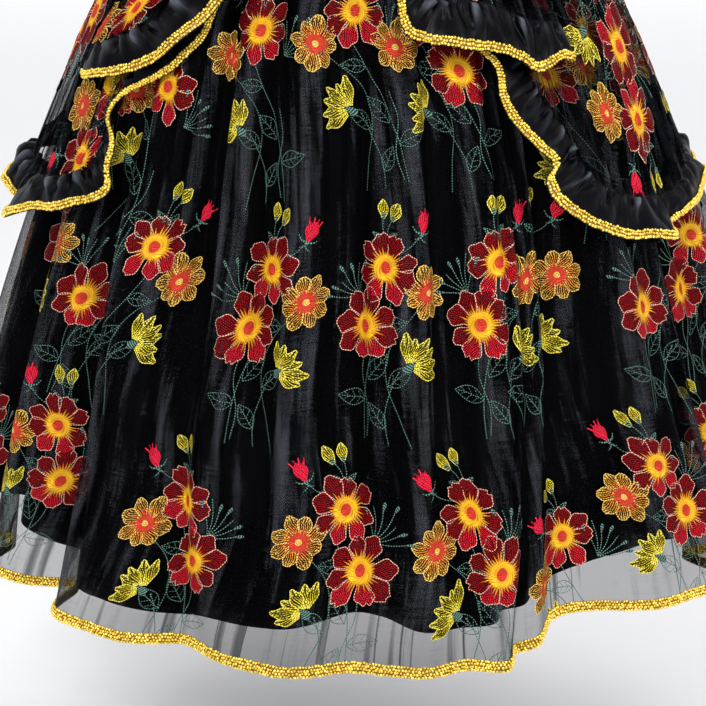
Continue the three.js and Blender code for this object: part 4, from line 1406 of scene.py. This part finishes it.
def cluster_place(count, x, y, mirrored, tilt, shows):
    """A cluster's row for the embroidery: the three seeds take turns."""
    variant = VARIANTS.index((SEEDS[count % len(SEEDS)], shows))
    return x, y, math.radians(tilt), 1 - 2 * mirrored, variant


places = []
for count, (row, drop, *way) in enumerate(CLUSTERS):
    column = row * SKIRT_CUTS % skirt.count
    ring = np.interp(drop, -skirt.points[:, int(column), 2], np.arange(skirt.rings))
    places.append(cluster_place(count, *skirt.flat_place(ring, column), *way))
for name, rows in PANEL_CLUSTERS.items():
    for count, (turn, drop, *way) in enumerate(rows):
        x, y = panels[name].flat_place(*panels[name].find(turn, drop))
        places.append(cluster_place(count, starts[name] + x, y, *way))

finishes = {"yellow": ("centres_yellow", centre_finish("yellow_thread"))}
for thread, (name, slot, *tones) in THREADS.items():
    finishes[thread] = (name, thread_finish(f"{thread}_thread", *tones))
for thread, thing in zip(finishes, embroider(places, table, finishes)):
    made.append(thing)
bpy.data.objects.remove(table)

for thing in made:
    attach(thing, "root")
frame["nodes"]["waistband"].data.materials[0] = band_satin

# ---- studio ----------------------------------------------------------------------------------
# Metres, watts and degrees. The floor is a profile of radius and rise, turned round.
FLOOR_HEIGHT = -1.30
FLOOR_PROFILE = ((0.0, 0.0), (3.0, 0.0), (7.5, 0.0), (9.0, 0.25), (10.2, 1.0), (11.0, 2.4), (11.3, 4.5))
FLOOR_CORNERS = 72
# Each light's place, the point it faces, its size and its power.
LIGHTS = {
    "key": ((-1.4, -3.8, 2.6), (0, 0, -0.5), (1.7, 1.3), 180),
    "fill": ((2.6, -2.0, 1.0), (0, 0, -0.5), (1.4, 1.4), 60),
    "top": ((0.2, 0.4, 3.2), (0, 0, -0.8), (4.0, 4.0), 95),
}
SKY_WHITE, SKY_STRENGTH = (1.0, 1.0, 1.0, 1), 0.48
CAMERA_PLACE, CAMERA_DIP = (-0.008, -2.600, 0.090), 17.3
CAMERA_LENS, CAMERA_SENSOR = 112.2, 36


def studio_floor():
    """A pale round floor that curves up far behind every view."""
    corners = FLOOR_CORNERS
    points, faces = [], []
    for radius, rise in FLOOR_PROFILE:
        for k in range(corners):
            points.append((*away((0, 0), radius, 2 * math.pi * k / corners), FLOOR_HEIGHT + rise))
    for ring in range(len(FLOOR_PROFILE) - 1):
        for k in range(corners):
            inner, outer, ahead = ring * corners, (ring + 1) * corners, (k + 1) % corners
            faces.append((inner + k, outer + k, outer + ahead, inner + ahead))
    piece("studio_floor", np.array(points) / MM, np.array(faces), floor_finish())


def soft_light(name, place, aim, size, power):
    """A rectangular lamp turned to face a point."""
    lamp = bpy.data.lights.new(name, "AREA")
    lamp.shape = "RECTANGLE"
    lamp.size, lamp.size_y = size
    lamp.energy = power
    thing = bpy.data.objects.new(name, lamp)
    thing.location = place
    x, y, z = np.subtract(aim, place)
    thing.rotation_euler = (math.atan2(math.hypot(x, y), -z), 0, math.atan2(x, -y) + math.pi)
    link(thing)


scene = bpy.context.scene
studio_floor()
for name, light in LIGHTS.items():
    soft_light(name, *light)

world = bpy.data.worlds.new("studio")
world.use_nodes = True
sky = world.node_tree.nodes["Background"].inputs
sky["Color"].default_value = SKY_WHITE
sky["Strength"].default_value = SKY_STRENGTH
scene.world = world
scene.view_settings.view_transform = "Standard"

camera = bpy.data.cameras.new("camera")
camera.lens = CAMERA_LENS
camera.sensor_width = CAMERA_SENSOR
eye = link(bpy.data.objects.new("camera", camera))
eye.location = CAMERA_PLACE
eye.rotation_euler = (math.radians(90 - CAMERA_DIP), 0, 0)
scene.camera = eye
